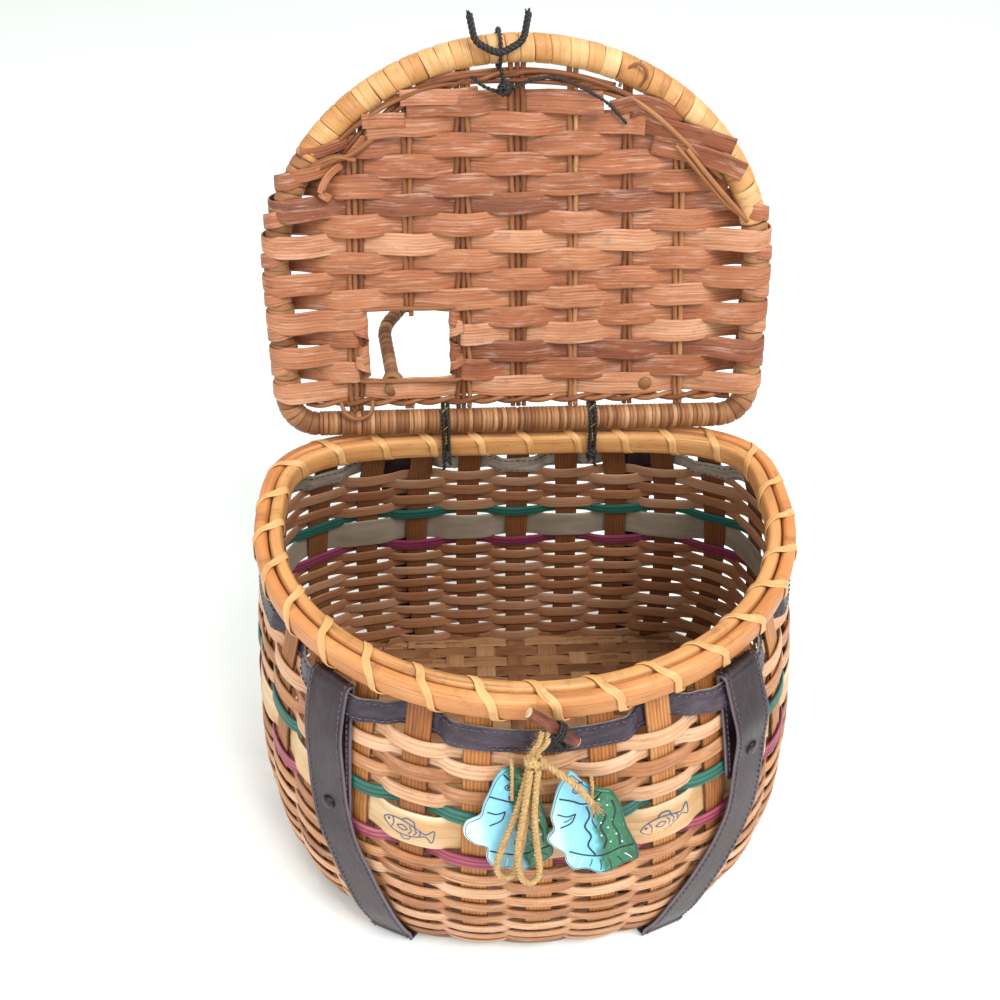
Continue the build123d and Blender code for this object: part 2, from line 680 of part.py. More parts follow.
lid_cols = columns(0.0, 0, LID_ROD + 0.1)
save(lid_cols, "lid_stakes")
lid_slots = columns(0.06, 0, LID_ROD)
WEAVE_S0 = 15.6
FOOT_X, FOOT_S, HANDLE_R = 72.0, 20.4, 4.2
HANDLE_TILT = 24.0                       # the bow leans up the lid from square
LATCH_X = -9.5
with BuildPart() as lidweave:
    with BuildSketch(LID.offset(-LID_WEAVE_HALF)):
        with BuildLine():
            lid_line(LID_ROD + 0.3)
        make_face()
        with Locations((0, WEAVE_S0 - 50)):
            Rectangle(400, 100, mode=Mode.SUBTRACT)
        with Locations(((HOLE_X0 + HOLE_X1) / 2, (HOLE_S0 + HOLE_S1) / 2)):
            Rectangle(HOLE_X1 - HOLE_X0, HOLE_S1 - HOLE_S0, mode=Mode.SUBTRACT)
        with Locations((-FOOT_X, FOOT_S), (FOOT_X, FOOT_S)):
            Circle(HANDLE_R + 0.1, mode=Mode.SUBTRACT)
        with Locations((LATCH_X, 194.0)):
            Rectangle(4.4, 14.0, mode=Mode.SUBTRACT)
    extrude(amount=2 * LID_WEAVE_HALF)
    add(lid_slots, mode=Mode.SUBTRACT)
save(lidweave.part, "lid_weave")

# paired round reeds worked along the foot of the lid
TW_S, TW_R = 13.4, 1.6
with BuildPart() as twining:
    for z in (COL_T / 2 + TW_R + 0.1, -(COL_T / 2 + TW_R + 0.1)):
        with BuildSketch(Plane(origin=lid_pt(-121.0, TW_S, z), z_dir=(1, 0, 0))):
            Circle(TW_R)
        extrude(amount=242.0)
save(twining.part, "lid_twining")

# wrapped carrying handle on the outer face: feet square through the lid, bow leaning up
def handle_pt(x, reach):
    q = max(0.0, reach - 14.0)
    return lid_pt(x, FOOT_S + q * sin(radians(HANDLE_TILT)), -min(reach, 14.0) - q * cos(radians(HANDLE_TILT)))


with BuildPart() as handle:
    with BuildLine() as hl:
        FilletPolyline(*[handle_pt(x, r) for x, r in ((-FOOT_X, -2.6), (-FOOT_X, 14.0), (-79.0, 60.0), (-54.0, 104.0),
                                                      (54.0, 104.0), (79.0, 60.0), (FOOT_X, 14.0), (FOOT_X, -2.6))],
                       radius=[10, 26, 34, 34, 26, 10])
    with BuildSketch(Plane(origin=lid_pt(-FOOT_X, FOOT_S, 2.6), z_dir=(0, cl, -slr))):
        Circle(HANDLE_R)
    sweep(path=hl.line)
save(handle.part, "lid_handle")
with BuildPart() as lash:
    for x in (-FOOT_X, FOOT_X):
        for z in (-6.1, -8.8, -11.5):
            with Locations(Plane(origin=lid_pt(x, FOOT_S, z), z_dir=(0, cl, -slr))):
                Torus(HANDLE_R + 1.45, 1.3)
save(lash.part, "handle_lashing")

# ---------------------------------------------------------------- hinge ties
# two-strand cord loops round the lid's hinge rod and the back of the rim,
# each in the gap between two stakes
TIE_R = 1.3
TIE_Y = HINGE_Y
TIE_U = 12.5 / N_STAKES
TIE_X = at(RIM_H, TIE_U)[0][0]
TIE_FLARE = at(RIM_H, TIE_U)[0][1] - at(0, TIE_U)[0][1]


def tie_loop(x):
    hw = 1.5 + HOOP_T + 0.25 + TIE_R
    z1, z0 = HINGE_Z + LID_ROD + 0.35 + TIE_R, RIM_TOP - RIM_H - 0.35 - TIE_R
    corners = [(TIE_Y - hw, z1, 8.8), (TIE_Y + hw, z1, 8.8), (TIE_Y + hw + TIE_FLARE, z0, 1.6), (TIE_Y - hw + TIE_FLARE, z0, 1.6)]
    n = len(corners)
    segs = []
    for k, (y, z, rad) in enumerate(corners):
        py, pz, _ = corners[k - 1]
        qy, qz, _ = corners[(k + 1) % n]
        a, b = unit((0, py - y, pz - z)), unit((0, qy - y, qz - z))
        half = acos(max(-1.0, min(1.0, dot(a, b)))) / 2
        cut = rad / tan(half)
        m = unit((0, a[1] + b[1], a[2] + b[2]))
        reach = rad / sin(half) - rad
        segs.append(((x, y + a[1] * cut, z + a[2] * cut), (x, y + m[1] * reach, z + m[2] * reach), (x, y + b[1] * cut, z + b[2] * cut)))
    start = (x, (segs[0][2][1] + segs[1][0][1]) / 2, z1)
    with BuildPart() as lp:
        with BuildLine() as pl_:
            Line(start, segs[1][0])
            for k in (1, 2, 3, 0):
                ThreePointArc(*segs[k])
                Line(segs[k][2], segs[(k + 1) % n][0] if k else start)
        with BuildSketch(Plane(origin=start, z_dir=(0, 1, 0))):
            Circle(TIE_R)
        sweep(path=pl_.wire())
    return lp.part


with BuildPart() as ties:
    for x0 in (-TIE_X, TIE_X):
        for dx in (-1.38, 1.38):
            add(tie_loop(x0 + dx))
print("ties at", TIE_X, "flare", TIE_FLARE)
save(ties.part, "hinge_ties")
with BuildPart() as tknots:
    for x0 in (-TIE_X, TIE_X):
        with Locations(Plane(origin=(x0, TIE_Y - 1.5 - HOOP_T - 0.25 - 2 * TIE_R - 2.9, 183.5))):
            Sphere(2.9)
save(tknots.part, "hinge_tie_knots")

# ---------------------------------------------------------------- latch cord
LR = 1.9
with BuildPart() as latch:
    with Locations(Plane(origin=lid_pt(LATCH_X, 199.7), z_dir=(1, 0, 0))):
        Torus(LID_ROD + 0.35 + 1.25, 1.25)
    with BuildLine() as ll:
        FilletPolyline(*[lid_pt(x, s, 10.6) for x, s in ((-24.0, 216.0), (-21.5, 203.5), (-9.5, 197.4), (2.6, 203.5), (5.2, 216.5))],
                       radius=[7.5, 9.0, 7.5])
    p0, p1 = lid_pt(-24.0, 216.0, 10.6), lid_pt(-21.5, 203.5, 10.6)
    with BuildSketch(Plane(origin=p0, z_dir=unit(vsub(p1, p0)))):
        Circle(LR)
    sweep(path=ll.line)
save(latch.part, "latch_loop")
with BuildPart() as lknot:
    with Locations(Plane(origin=lid_pt(-6.5, 181.0, LID_WEAVE_HALF + 4.4))):
        Sphere(4.2)
save(lknot.part, "latch_knot")
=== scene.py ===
import bpy
import math
import numpy as np
from math import sin, cos, pi, radians, degrees, atan2, hypot, sqrt
from mathutils import Matrix, Vector


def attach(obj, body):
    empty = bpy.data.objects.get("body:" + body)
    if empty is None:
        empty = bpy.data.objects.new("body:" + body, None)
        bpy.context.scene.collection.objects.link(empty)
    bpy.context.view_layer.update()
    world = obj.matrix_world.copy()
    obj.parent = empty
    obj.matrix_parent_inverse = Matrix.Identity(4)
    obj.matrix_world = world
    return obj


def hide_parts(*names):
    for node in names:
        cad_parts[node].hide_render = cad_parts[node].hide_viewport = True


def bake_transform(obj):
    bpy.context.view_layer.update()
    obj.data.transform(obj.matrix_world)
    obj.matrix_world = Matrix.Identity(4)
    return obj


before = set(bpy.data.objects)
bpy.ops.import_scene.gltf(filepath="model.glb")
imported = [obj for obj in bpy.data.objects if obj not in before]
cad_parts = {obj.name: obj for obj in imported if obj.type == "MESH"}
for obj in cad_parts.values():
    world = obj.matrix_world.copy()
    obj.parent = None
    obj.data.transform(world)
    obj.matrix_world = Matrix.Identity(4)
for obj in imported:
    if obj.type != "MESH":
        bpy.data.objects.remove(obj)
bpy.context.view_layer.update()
MM = 0.001
rng = np.random.default_rng(11)

# ------------------------------------------------------------------ camera
CAM_F, CAM_C = 1147.2, (-31.4, -438.4, 589.9)
CAM_PITCH, CAM_YAW, CAM_ROLL = radians(40.10), radians(2.20), radians(-0.04)
fwd = np.array([sin(CAM_YAW) * cos(CAM_PITCH), cos(CAM_YAW) * cos(CAM_PITCH), -sin(CAM_PITCH)])
rgt = np.array([cos(CAM_YAW), -sin(CAM_YAW), 0.0])
upv = np.cross(rgt, fwd)
r2 = rgt * cos(CAM_ROLL) + upv * sin(CAM_ROLL)
u2 = -rgt * sin(CAM_ROLL) + upv * cos(CAM_ROLL)
cam_data = bpy.data.cameras.new("camera")
cam_data.sensor_width = 36.0
cam_data.sensor_fit = "HORIZONTAL"
cam_data.lens = CAM_F * 36.0 / 1000.0
cam_data.clip_start, cam_data.clip_end = 0.01, 50.0
cam = bpy.data.objects.new("camera", cam_data)
bpy.context.scene.collection.objects.link(cam)
m = Matrix.Identity(4)
for i in range(3):
    m[i][0], m[i][1], m[i][2], m[i][3] = r2[i], u2[i], -fwd[i], CAM_C[i] * MM
cam.matrix_world = m
bpy.context.scene.camera = cam
bpy.context.scene.view_settings.view_transform = "Standard"

# ------------------------------------------------------------------ creel geometry
RIM_TOP, RIM_H, HOOP_T = 190.0, 13.5, 6.0
STAKE_W, STAKE_T, NS = 14.0, 2.4, 28
Y_WIDE, BACK_E = 33.0, 0.5
STRAP_W, LEATHER_T = 25.0, 2.0
BAND_TOP, BAND_BOT = 18.9, 31.9
DEPTHS = np.array([0.0, 14.0, 47.0, 95.0, 133.0, 165.0, 190.0])
HALF_W = np.array([137.0, 138.0, 145.0, 150.5, 152.5, 149.5, 141.0])
FRONT = np.array([-98.0, -99.2, -112.5, -122.5, -125.5, -122.0, -113.0])
BACK = np.array([98.5, 99.1, 106.5, 113.0, 114.6, 112.5, 107.0])
SQUARE = np.array([1.0, 1.0, 0.97, 0.92, 0.88, 0.84, 0.8])


def prof(t, ys):
    """cubic through the wall profile's knots"""
    xs = DEPTHS
    t = min(max(float(t), xs[0]), xs[-1])
    i = min(int(np.searchsorted(xs, t, side="right")) - 1, len(xs) - 2)
    def slope(k):
        if k == 0:
            return (ys[1] - ys[0]) / (xs[1] - xs[0])
        if k == len(xs) - 1:
            return (ys[-1] - ys[-2]) / (xs[-1] - xs[-2])
        return (ys[k + 1] - ys[k - 1]) / (xs[k + 1] - xs[k - 1])
    h = xs[i + 1] - xs[i]
    s = (t - xs[i]) / h
    return ((2 * s**3 - 3 * s**2 + 1) * ys[i] + (s**3 - 2 * s**2 + s) * h * slope(i)
            + (-2 * s**3 + 3 * s**2) * ys[i + 1] + (s**3 - s**2) * h * slope(i + 1))


NU = 1680
NPLAN = 720


def plan(depth):
    a, e = prof(depth, HALF_W), prof(depth, SQUARE)
    f, b = Y_WIDE - prof(depth, FRONT), prof(depth, BACK) - Y_WIDE
    th = -pi / 2 + 2 * pi * np.arange(NPLAN) / NPLAN
    c, s = np.cos(th), np.sin(th)
    ex = np.where(s < 0, e, BACK_E)
    x = a * np.abs(c) ** ex * np.where(c > 0, 1, -1)
    y = Y_WIDE + np.where(s < 0, f, b) * np.abs(s) ** ex * np.where(s > 0, 1, -1)
    return np.stack([x, y], 1)


TD = np.arange(0.0, 191.0, 1.0)
TAB_P = np.zeros((len(TD), NU, 2))
TAB_N = np.zeros((len(TD), NU, 2))
TAB_L = np.zeros(len(TD))
for i_, d_ in enumerate(TD):
    p_ = plan(d_)
    q_ = np.vstack([p_, p_[:1]])
    L_ = np.concatenate([[0], np.cumsum(np.hypot(*np.diff(q_, axis=0).T))])
    s_ = np.arange(NU) / NU * L_[-1]
    TAB_P[i_, :, 0] = np.interp(s_, L_, q_[:, 0])
    TAB_P[i_, :, 1] = np.interp(s_, L_, q_[:, 1])
    t_ = np.roll(TAB_P[i_], -4, 0) - np.roll(TAB_P[i_], 4, 0)
    t_ /= np.linalg.norm(t_, axis=1)[:, None]
    TAB_N[i_, :, 0], TAB_N[i_, :, 1] = t_[:, 1], -t_[:, 0]
    TAB_L[i_] = L_[-1]


def wall(d, u, off=0.0):
    """point of the wall: depth below the rim top, arc fraction (0 = front centre, towards +X), outward offset"""
    d, u, off = np.broadcast_arrays(np.asarray(d, float), np.asarray(u, float), np.asarray(off, float))
    dc = np.clip(d, 0, 189.999)
    i = dc.astype(int)
    fd = (dc - i)[..., None]
    s = (u % 1.0) * NU
    j = np.floor(s).astype(int)
    fu = (s - j)[..., None]
    j0, j1 = j % NU, (j + 1) % NU
    def get(T):
        a = T[i, j0] * (1 - fu) + T[i, j1] * fu
        b = T[i + 1, j0] * (1 - fu) + T[i + 1, j1] * fu
        return a * (1 - fd) + b * fd
    p, n = get(TAB_P), get(TAB_N)
    n = n / np.linalg.norm(n, axis=-1)[..., None]
    return np.concatenate([p + n * off[..., None], (RIM_TOP - d)[..., None]], -1)


def wall_n(d, u):
    a = wall(d, u, 0.0)
    b = wall(d, u, 1.0)
    return b - a


def unitv(v):
    return v / np.maximum(np.linalg.norm(v, axis=-1), 1e-9)[..., None]


# ------------------------------------------------------------------ mesh helpers
class Bag:
    """collects strips and tubes into one mesh, in millimetres"""
    def __init__(self):
        self.V, self.Q, self.T, self.st, self.sd, self.n = [], [], [], [], [], 0

    def add(self, V, Q=None, T=None, st=None, sd=None):
        V = np.asarray(V, float).reshape(-1, 3)
        n = len(V)
        self.V.append(V)
        if Q is not None and len(Q):
            self.Q.append(np.asarray(Q, np.int64) + self.n)
        if T is not None and len(T):
            self.T.append(np.asarray(T, np.int64) + self.n)
        self.st.append(np.zeros((n, 3)) if st is None else np.asarray(st, float).reshape(-1, 3))
        self.sd.append(np.zeros(n) if sd is None else np.asarray(sd, float).reshape(-1))
        self.n += n

    def build(self, name, body, mat, replaces=(), slot=None, smooth=True):
        V = np.concatenate(self.V) * MM
        Q = np.concatenate(self.Q) if self.Q else np.zeros((0, 4), np.int64)
        T = np.concatenate(self.T) if self.T else np.zeros((0, 3), np.int64)
        me = bpy.data.meshes.new(name)
        me.vertices.add(len(V))
        me.vertices.foreach_set("co", V.astype(np.float32).ravel())
        nl = len(Q) * 4 + len(T) * 3
        me.loops.add(nl)
        me.loops.foreach_set("vertex_index", np.concatenate([Q.ravel(), T.ravel()]).astype(np.int32))
        me.polygons.add(len(Q) + len(T))
        starts = np.concatenate([np.arange(len(Q)) * 4, len(Q) * 4 + np.arange(len(T)) * 3])
        me.polygons.foreach_set("loop_start", starts.astype(np.int32))
        me.update(calc_edges=True)
        me.validate()
        me.shade_smooth() if smooth else me.shade_flat()
        a = me.attributes.new("st", "FLOAT_VECTOR", "POINT")
        a.data.foreach_set("vector", np.concatenate(self.st).astype(np.float32).ravel())
        b = me.attributes.new("sd", "FLOAT", "POINT")
        b.data.foreach_set("value", np.concatenate(self.sd).astype(np.float32))
        ob = bpy.data.objects.new(name, me)
        bpy.context.scene.collection.objects.link(ob)
        for mt in (mat if isinstance(mat, (list, tuple)) else [mat]):
            me.materials.append(mt)
        if body:
            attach(ob, body)
        if replaces:
            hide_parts(*replaces)
        return ob


def grid_faces(n, m, closed_n, closed_m=True):
    i = np.arange(n if closed_n else n - 1)
    j = np.arange(m if closed_m else m - 1)
    I, J = np.meshgrid(i, j, indexing="ij")
    I2, J2 = (I + 1) % n, (J + 1) % m
    return np.stack([I * m + J, I2 * m + J, I2 * m + J2, I * m + J2], -1).reshape(-1, 4)


def cap_faces(m, base, flip):
    """fills an even closed ring of m vertices starting at base with quads"""
    q = []
    h = m // 2
    for k in range(h - 1):
        a, b, c, d = base + k, base + k + 1, base + (m - 2 - k), base + (m - 1 - k)
        q.append((a, b, c, d) if not flip else (d, c, b, a))
    return q


def signed_volume(V, Q):
    a, b, c, d = V[Q[:, 0]], V[Q[:, 1]], V[Q[:, 2]], V[Q[:, 3]]
    return (np.einsum("ij,ij->i", a, np.cross(b, c)).sum() + np.einsum("ij,ij->i", a, np.cross(c, d)).sum()) / 6


def reed_profile(m=20, e=0.42, ridges=0.0, nr=3, dome=0.12):
    """unit cross-section of flat reed: b across (-1..1), n through (-1..1)"""
    th = 2 * pi * (np.arange(m) + 0.5) / m
    c, s = np.cos(th), np.sin(th)
    b = np.sign(c) * np.abs(c) ** 0.7
    n = np.sign(s) * np.abs(s) ** e
    n = n * (1 + dome * (1 - b**2)) / (1 + dome)
    if ridges:
        n = n * (1 + ridges * np.cos(b * pi * nr) * (1 - b**4))
    return b, n


def sweep(bag, C, B, N, hw, ht, profile, closed=False, rnd=0.0, along0=0.0, tip=False):
    """strip of half width hw and half thickness ht (numbers or one per station) along C"""
    C = np.asarray(C, float)
    n = len(C)
    pb, pn = profile
    m = len(pb)
    hw = np.broadcast_to(np.asarray(hw, float), (n,))
    ht = np.broadcast_to(np.asarray(ht, float), (n,))
    V = (C[:, None, :] + B[:, None, :] * (hw[:, None] * pb[None, :])[..., None]
         + N[:, None, :] * (ht[:, None] * pn[None, :])[..., None])
    seg = np.linalg.norm(np.diff(np.vstack([C, C[:1]]) if closed else C, axis=0), axis=1)
    al = np.concatenate([[0], np.cumsum(seg)])[:n] + along0
    st = np.stack([np.broadcast_to(al[:, None], (n, m)), hw[:, None] * pb[None, :], np.full((n, m), rnd)], -1)
    sd = np.broadcast_to(pn[None, :], (n, m))
    Q = grid_faces(n, m, closed)
    V = V.reshape(-1, 3)
    if not closed:
        Q = np.vstack([Q, cap_faces(m, 0, False), cap_faces(m, (n - 1) * m, True)])
    if signed_volume(V - V.mean(0), Q) < 0:
        Q = Q[:, ::-1]
    bag.add(V, Q=Q, st=st, sd=sd)
    return al


def frames_from(C, ref=None, closed=False):
    """tangent, and two normals turned as little as possible along the line"""
    C = np.asarray(C, float)
    if closed:
        T = unitv(np.roll(C, -1, 0) - np.roll(C, 1, 0))
    else:
        T = unitv(np.gradient(C, axis=0))
    a = np.array(ref if ref is not None else ([0, 0, 1.0] if abs(T[0][2]) < 0.9 else [1.0, 0, 0]), float)
    a = a - T[0] * a.dot(T[0])
    a /= np.linalg.norm(a)
    A = [a]
    for k in range(1, len(C)):
        a = a - T[k] * a.dot(T[k])
        a = a / max(np.linalg.norm(a), 1e-9)
        A.append(a)
    A = np.array(A)
    return T, A, np.cross(T, A)


def tube(bag, C, r, sides=10, closed=False, rnd=0.0, ref=None, ridge=None):
    """round tube along C; r a number or one per station"""
    C = np.asarray(C, float)
    sides = max(4, sides + sides % 2)
    T, A, Bn = frames_from(C, ref, closed)
    th = 2 * pi * np.arange(sides) / sides
    r = np.broadcast_to(np.asarray(r, float), (len(C),))
    n, m = len(C), sides
    rr = r[:, None] * np.ones((1, m))
    if ridge is not None:
        rr = rr + ridge(n, m, th)
    V = C[:, None, :] + A[:, None, :] * (rr * np.cos(th)[None, :])[..., None] + Bn[:, None, :] * (rr * np.sin(th)[None, :])[..., None]
    seg = np.linalg.norm(np.diff(np.vstack([C, C[:1]]) if closed else C, axis=0), axis=1)
    al = np.concatenate([[0], np.cumsum(seg)])[:n]
    st = np.stack([np.broadcast_to(al[:, None], (n, m)), np.broadcast_to(th[None, :], (n, m)) * 1.0, np.full((n, m), rnd)], -1)
    Q = grid_faces(n, m, closed)
    V = V.reshape(-1, 3)
    if not closed:
        Q = np.vstack([Q, cap_faces(m, 0, False), cap_faces(m, (n - 1) * m, True)])
    if signed_volume(V - V.mean(0), Q) < 0:
        Q = Q[:, ::-1]
    bag.add(V, Q=Q, st=st, sd=np.zeros(len(V)))
    return al


def catmull(P, per=8, closed=False):
    """smooth line through the points"""
    P = np.asarray(P, float)
    n = len(P)
    out = []
    rngk = range(n) if closed else range(n - 1)
    for k in rngk:
        p1, p2 = P[k % n], P[(k + 1) % n]
        p0 = P[(k - 1) % n] if (closed or k > 0) else 2 * p1 - p2
        p3 = P[(k + 2) % n] if (closed or k < n - 2) else 2 * p2 - p1
        t = (np.arange(per) / per)[:, None]
        out.append(0.5 * ((2 * p1) + (-p0 + p2) * t + (2 * p0 - 5 * p1 + 4 * p2 - p3) * t**2 + (-p0 + 3 * p1 - 3 * p2 + p3) * t**3))
    if not closed:
        out.append(P[-1:])
    return np.vstack(out)


def resample(C, step):
    C = np.asarray(C, float)
    L = np.concatenate([[0], np.cumsum(np.linalg.norm(np.diff(C, axis=0), axis=1))])
    n = max(2, int(round(L[-1] / step)) + 1)
    s = np.linspace(0, L[-1], n)
    return np.stack([np.interp(s, L, C[:, k]) for k in range(C.shape[1])], 1)


def wob(n, amp, waves, seed, closed=False):
    """slow smooth random wander along n stations"""
    g = np.random.default_rng(seed)
    t = np.linspace(0, 1, n, endpoint=not closed)
    out = np.zeros(n)
    for w in range(1, waves + 1):
        f = w if closed else w * 0.5
        out += g.normal() / sqrt(w) * np.cos(2 * pi * (f * t + g.random()))
    return out * amp / 1.6

# ------------------------------------------------------------------ materials
def lin(h):
    h = h.lstrip("#")
    out = []
    for k in (0, 2, 4):
        v = int(h[k:k + 2], 16) / 255
        out.append(v / 12.92 if v <= 0.04045 else ((v + 0.055) / 1.055) ** 2.4)
    return tuple(out) + (1.0,)


class Net:
    def __init__(self, name, rough=0.5, **vals):
        self.mat = bpy.data.materials.new(name)
        self.mat.use_nodes = True
        self.t = self.mat.node_tree
        self.t.nodes.clear()
        self.out = self.t.nodes.new("ShaderNodeOutputMaterial")
        self.bsdf = self.t.nodes.new("ShaderNodeBsdfPrincipled")
        self.t.links.new(self.bsdf.outputs[0], self.out.inputs[0])
        self.bsdf.inputs["Roughness"].default_value = rough
        for k, v in vals.items():
            self.bsdf.inputs[k.replace("_", " ")].default_value = v

    def put(self, sock, v):
        if hasattr(v, "links"):
            self.t.links.new(v, sock)
        else:
            sock.default_value = v

    def attr(self, name="st"):
        n = self.t.nodes.new("ShaderNodeAttribute")
        n.attribute_name = name
        return n.outputs["Vector"] if name == "st" else n.outputs["Fac"]

    def obj(self):
        return self.t.nodes.new("ShaderNodeTexCoord").outputs["Object"]

    def sep(self, v):
        n = self.t.nodes.new("ShaderNodeSeparateXYZ")
        self.put(n.inputs[0], v)
        return n.outputs

    def vmul(self, v, f):
        n = self.t.nodes.new("ShaderNodeVectorMath")
        n.operation = "MULTIPLY"
        self.put(n.inputs[0], v)
        n.inputs[1].default_value = f
        return n.outputs[0]

    def noise(self, v, scale=1.0, detail=3.0, rough=0.55, dist=0.0):
        n = self.t.nodes.new("ShaderNodeTexNoise")
        self.put(n.inputs["Vector"], v)
        n.inputs["Scale"].default_value = scale
        n.inputs["Detail"].default_value = detail
        n.inputs["Roughness"].default_value = rough
        n.inputs["Distortion"].default_value = dist
        return n.outputs["Fac"]

    def math(self, op, a, b=0.0, c=0.0):
        n = self.t.nodes.new("ShaderNodeMath")
        n.operation = op
        self.put(n.inputs[0], a)
        self.put(n.inputs[1], b)
        if op == "MULTIPLY_ADD":
            self.put(n.inputs[2], c)
        return n.outputs[0]

    def ramp(self, f, stops, interp="LINEAR"):
        n = self.t.nodes.new("ShaderNodeValToRGB")
        n.color_ramp.interpolation = interp
        e = n.color_ramp.elements
        while len(e) < len(stops):
            e.new(0.5)
        for k, (p, c) in enumerate(stops):
            e[k].position = p
            e[k].color = lin(c) if isinstance(c, str) else (c, c, c, 1.0)
        self.put(n.inputs[0], f)
        return n.outputs[0]

    def mix(self, f, a, b, kind="MIX"):
        n = self.t.nodes.new("ShaderNodeMix")
        n.data_type = "RGBA"
        n.blend_type = kind
        self.put(n.inputs[0], f)
        self.put(n.inputs[6], lin(a) if isinstance(a, str) else a)
        self.put(n.inputs[7], lin(b) if isinstance(b, str) else b)
        return n.outputs[2]

    def color(self, c):
        self.put(self.bsdf.inputs["Base Color"], c)

    def bump(self, h, strength=0.5, dist=0.0004):
        n = self.t.nodes.new("ShaderNodeBump")
        n.inputs["Strength"].default_value = strength
        n.inputs["Distance"].default_value = dist
        self.put(n.inputs["Height"], h)
        self.t.links.new(n.outputs[0], self.bsdf.inputs["Normal"])


def reed_mat(name, stops, rough=0.5, grain=1.6, dark="#3a2114", damt=0.55, drift=0.5, inner=None, bump=0.6, along=0.03, spec=0.35, dust=None, ribs=None, inamt=0.6):
    """plant fibre: tone per strip plus slow drift, fine dark lines along the fibre"""
    n = Net(name, rough, Specular_IOR_Level=spec)
    st = n.attr()
    z = n.sep(st)[2]
    slow = n.noise(n.vmul(st, (0.022, 0.10, 53.0)), detail=2.0)
    fine = n.noise(n.vmul(st, (along, grain, 91.0)), detail=4.0, rough=0.65)
    drive = n.math("MULTIPLY_ADD", slow, drift, n.math("MULTIPLY", z, 1.0 - drift))
    drive = n.math("MULTIPLY_ADD", fine, 0.35, n.math("MULTIPLY_ADD", drive, 1.15, -0.22))
    col = n.ramp(drive, stops)
    lines = n.ramp(fine, [(0.30, 1.0), (0.46, 0.0)])
    col = n.mix(n.math("MULTIPLY", lines, damt), col, dark)
    blot = n.ramp(n.noise(n.vmul(st, (0.09, 0.22, 17.0)), detail=4.0, rough=0.7), [(0.56, 0.0), (0.75, 1.0)])
    col = n.mix(n.math("MULTIPLY", blot, 0.45), col, dark)
    if dust:
        dd = n.ramp(n.noise(n.vmul(st, (0.05, 0.5, 29.0)), detail=5.0, rough=0.7), [(0.52, 0.0), (0.72, 1.0)])
        col = n.mix(n.math("MULTIPLY", dd, 0.5), col, dust)
    if inner:
        side = n.ramp(n.attr("sd"), [(0.42, 1.0), (0.58, 0.0)])
        col = n.mix(n.math("MULTIPLY", side, inamt), col, inner)
    if ribs:
        k, amt = ribs
        cr = n.math("COSINE", n.math("MULTIPLY", n.sep(st)[1], k))
        col = n.mix(n.math("MULTIPLY", n.ramp(cr, [(0.0, 1.0), (0.14, 0.0)]), amt), col, dark)
    n.color(col)
    n.bump(fine, bump, 0.0005)
    return n.mat


TAN = [(0.0, "#6f3d24"), (0.25, "#a4673f"), (0.5, "#c48859"), (0.72, "#d6a078"), (1.0, "#e9c4a4")]
wall_m = reed_mat("wall_reed", TAN, 0.5, dust="#e6c8b0", inner="#8a6146", inamt=0.55, ribs=(2.55, 0.16))
wallb_m = reed_mat("wall_reed_fine", TAN, 0.5, dust="#e6c8b0", inner="#8a6146", inamt=0.55, ribs=(2.85, 0.15))
stake_m = reed_mat("stake_reed", [(0.0, "#6d3a1d"), (0.35, "#a3622f"), (0.65, "#c07c42"), (1.0, "#d59f68")], 0.5, grain=2.8, damt=0.8, inner="#5d3520", inamt=0.75, ribs=(3.4, 0.35))
green_m = reed_mat("green_reed", [(0.0, "#12332c"), (0.4, "#24594c"), (0.75, "#357a69"), (1.0, "#5f9c8b")], 0.5, dark="#0c211d", damt=0.5, inner="#12655c", inamt=0.5, ribs=(2.3, 0.5))
mag_m = reed_mat("magenta_reed", [(0.0, "#4a1226"), (0.4, "#842c44"), (0.75, "#a7475c"), (1.0, "#c87d8a")], 0.5, dark="#330e1c", damt=0.5, inner="#7c2a58", inamt=0.6, ribs=(2.2, 0.5))
# painted shade: the woven base and its foot weavers get a darker copy of the reed tones, for the shade on the basket's
# floor
base_reed_shaded_m = reed_mat("base_reed", [(0.0, "#55301b"), (0.3, "#7f5232"), (0.6, "#9f7149"), (1.0, "#bd9269")], 0.6)
rim_out_m = reed_mat("rim_outer", [(0.0, "#7d4521"), (0.4, "#b06c38"), (0.7, "#c98750"), (1.0, "#e0b07a")], 0.45, grain=1.5, damt=0.6, along=0.012, spec=0.4)
rim_in_m = reed_mat("rim_inner", [(0.0, "#9c6434"), (0.35, "#c48a52"), (0.7, "#d9a86e"), (1.0, "#edcf9f")], 0.45, grain=1.5, damt=0.5, along=0.012, spec=0.4)
cane_m = reed_mat("cane_binding", [(0.0, "#a86c3a"), (0.4, "#cd9558"), (0.75, "#e0b27b"), (1.0, "#f0d3a6")], 0.36, grain=1.8, damt=0.4, spec=0.45)
lid_m = reed_mat("lid_reed", [(0.0, "#4f2615"), (0.25, "#834628"), (0.5, "#a6613a"), (0.75, "#bf8058"), (1.0, "#d9a683")], 0.46, grain=2.6, dark="#34180c", damt=0.75, dust="#e2c0aa", ribs=(3.6, 0.18), spec=0.45)
round_m = reed_mat("lid_round_reed", [(0.0, "#4a2816"), (0.4, "#7d4929"), (0.75, "#a46f45"), (1.0, "#c4966c")], 0.5, grain=1.0)
wrap_m = reed_mat("lid_cane", [(0.0, "#8c5528"), (0.3, "#bb8045"), (0.65, "#d19c61"), (1.0, "#e6bf8c")], 0.4, grain=3.0, damt=0.6, spec=0.5)
wrapb_m = reed_mat("lid_cane_brown", [(0.0, "#5e381f"), (0.4, "#8c5a36"), (0.75, "#ab7a51"), (1.0, "#c49a74")], 0.45, grain=2.4, damt=0.5)
handle_m = reed_mat("handle_cane", [(0.0, "#5e3a20"), (0.4, "#8a5c38"), (0.75, "#a97a52"), (1.0, "#c49a72")], 0.42, grain=2.0, damt=0.45)
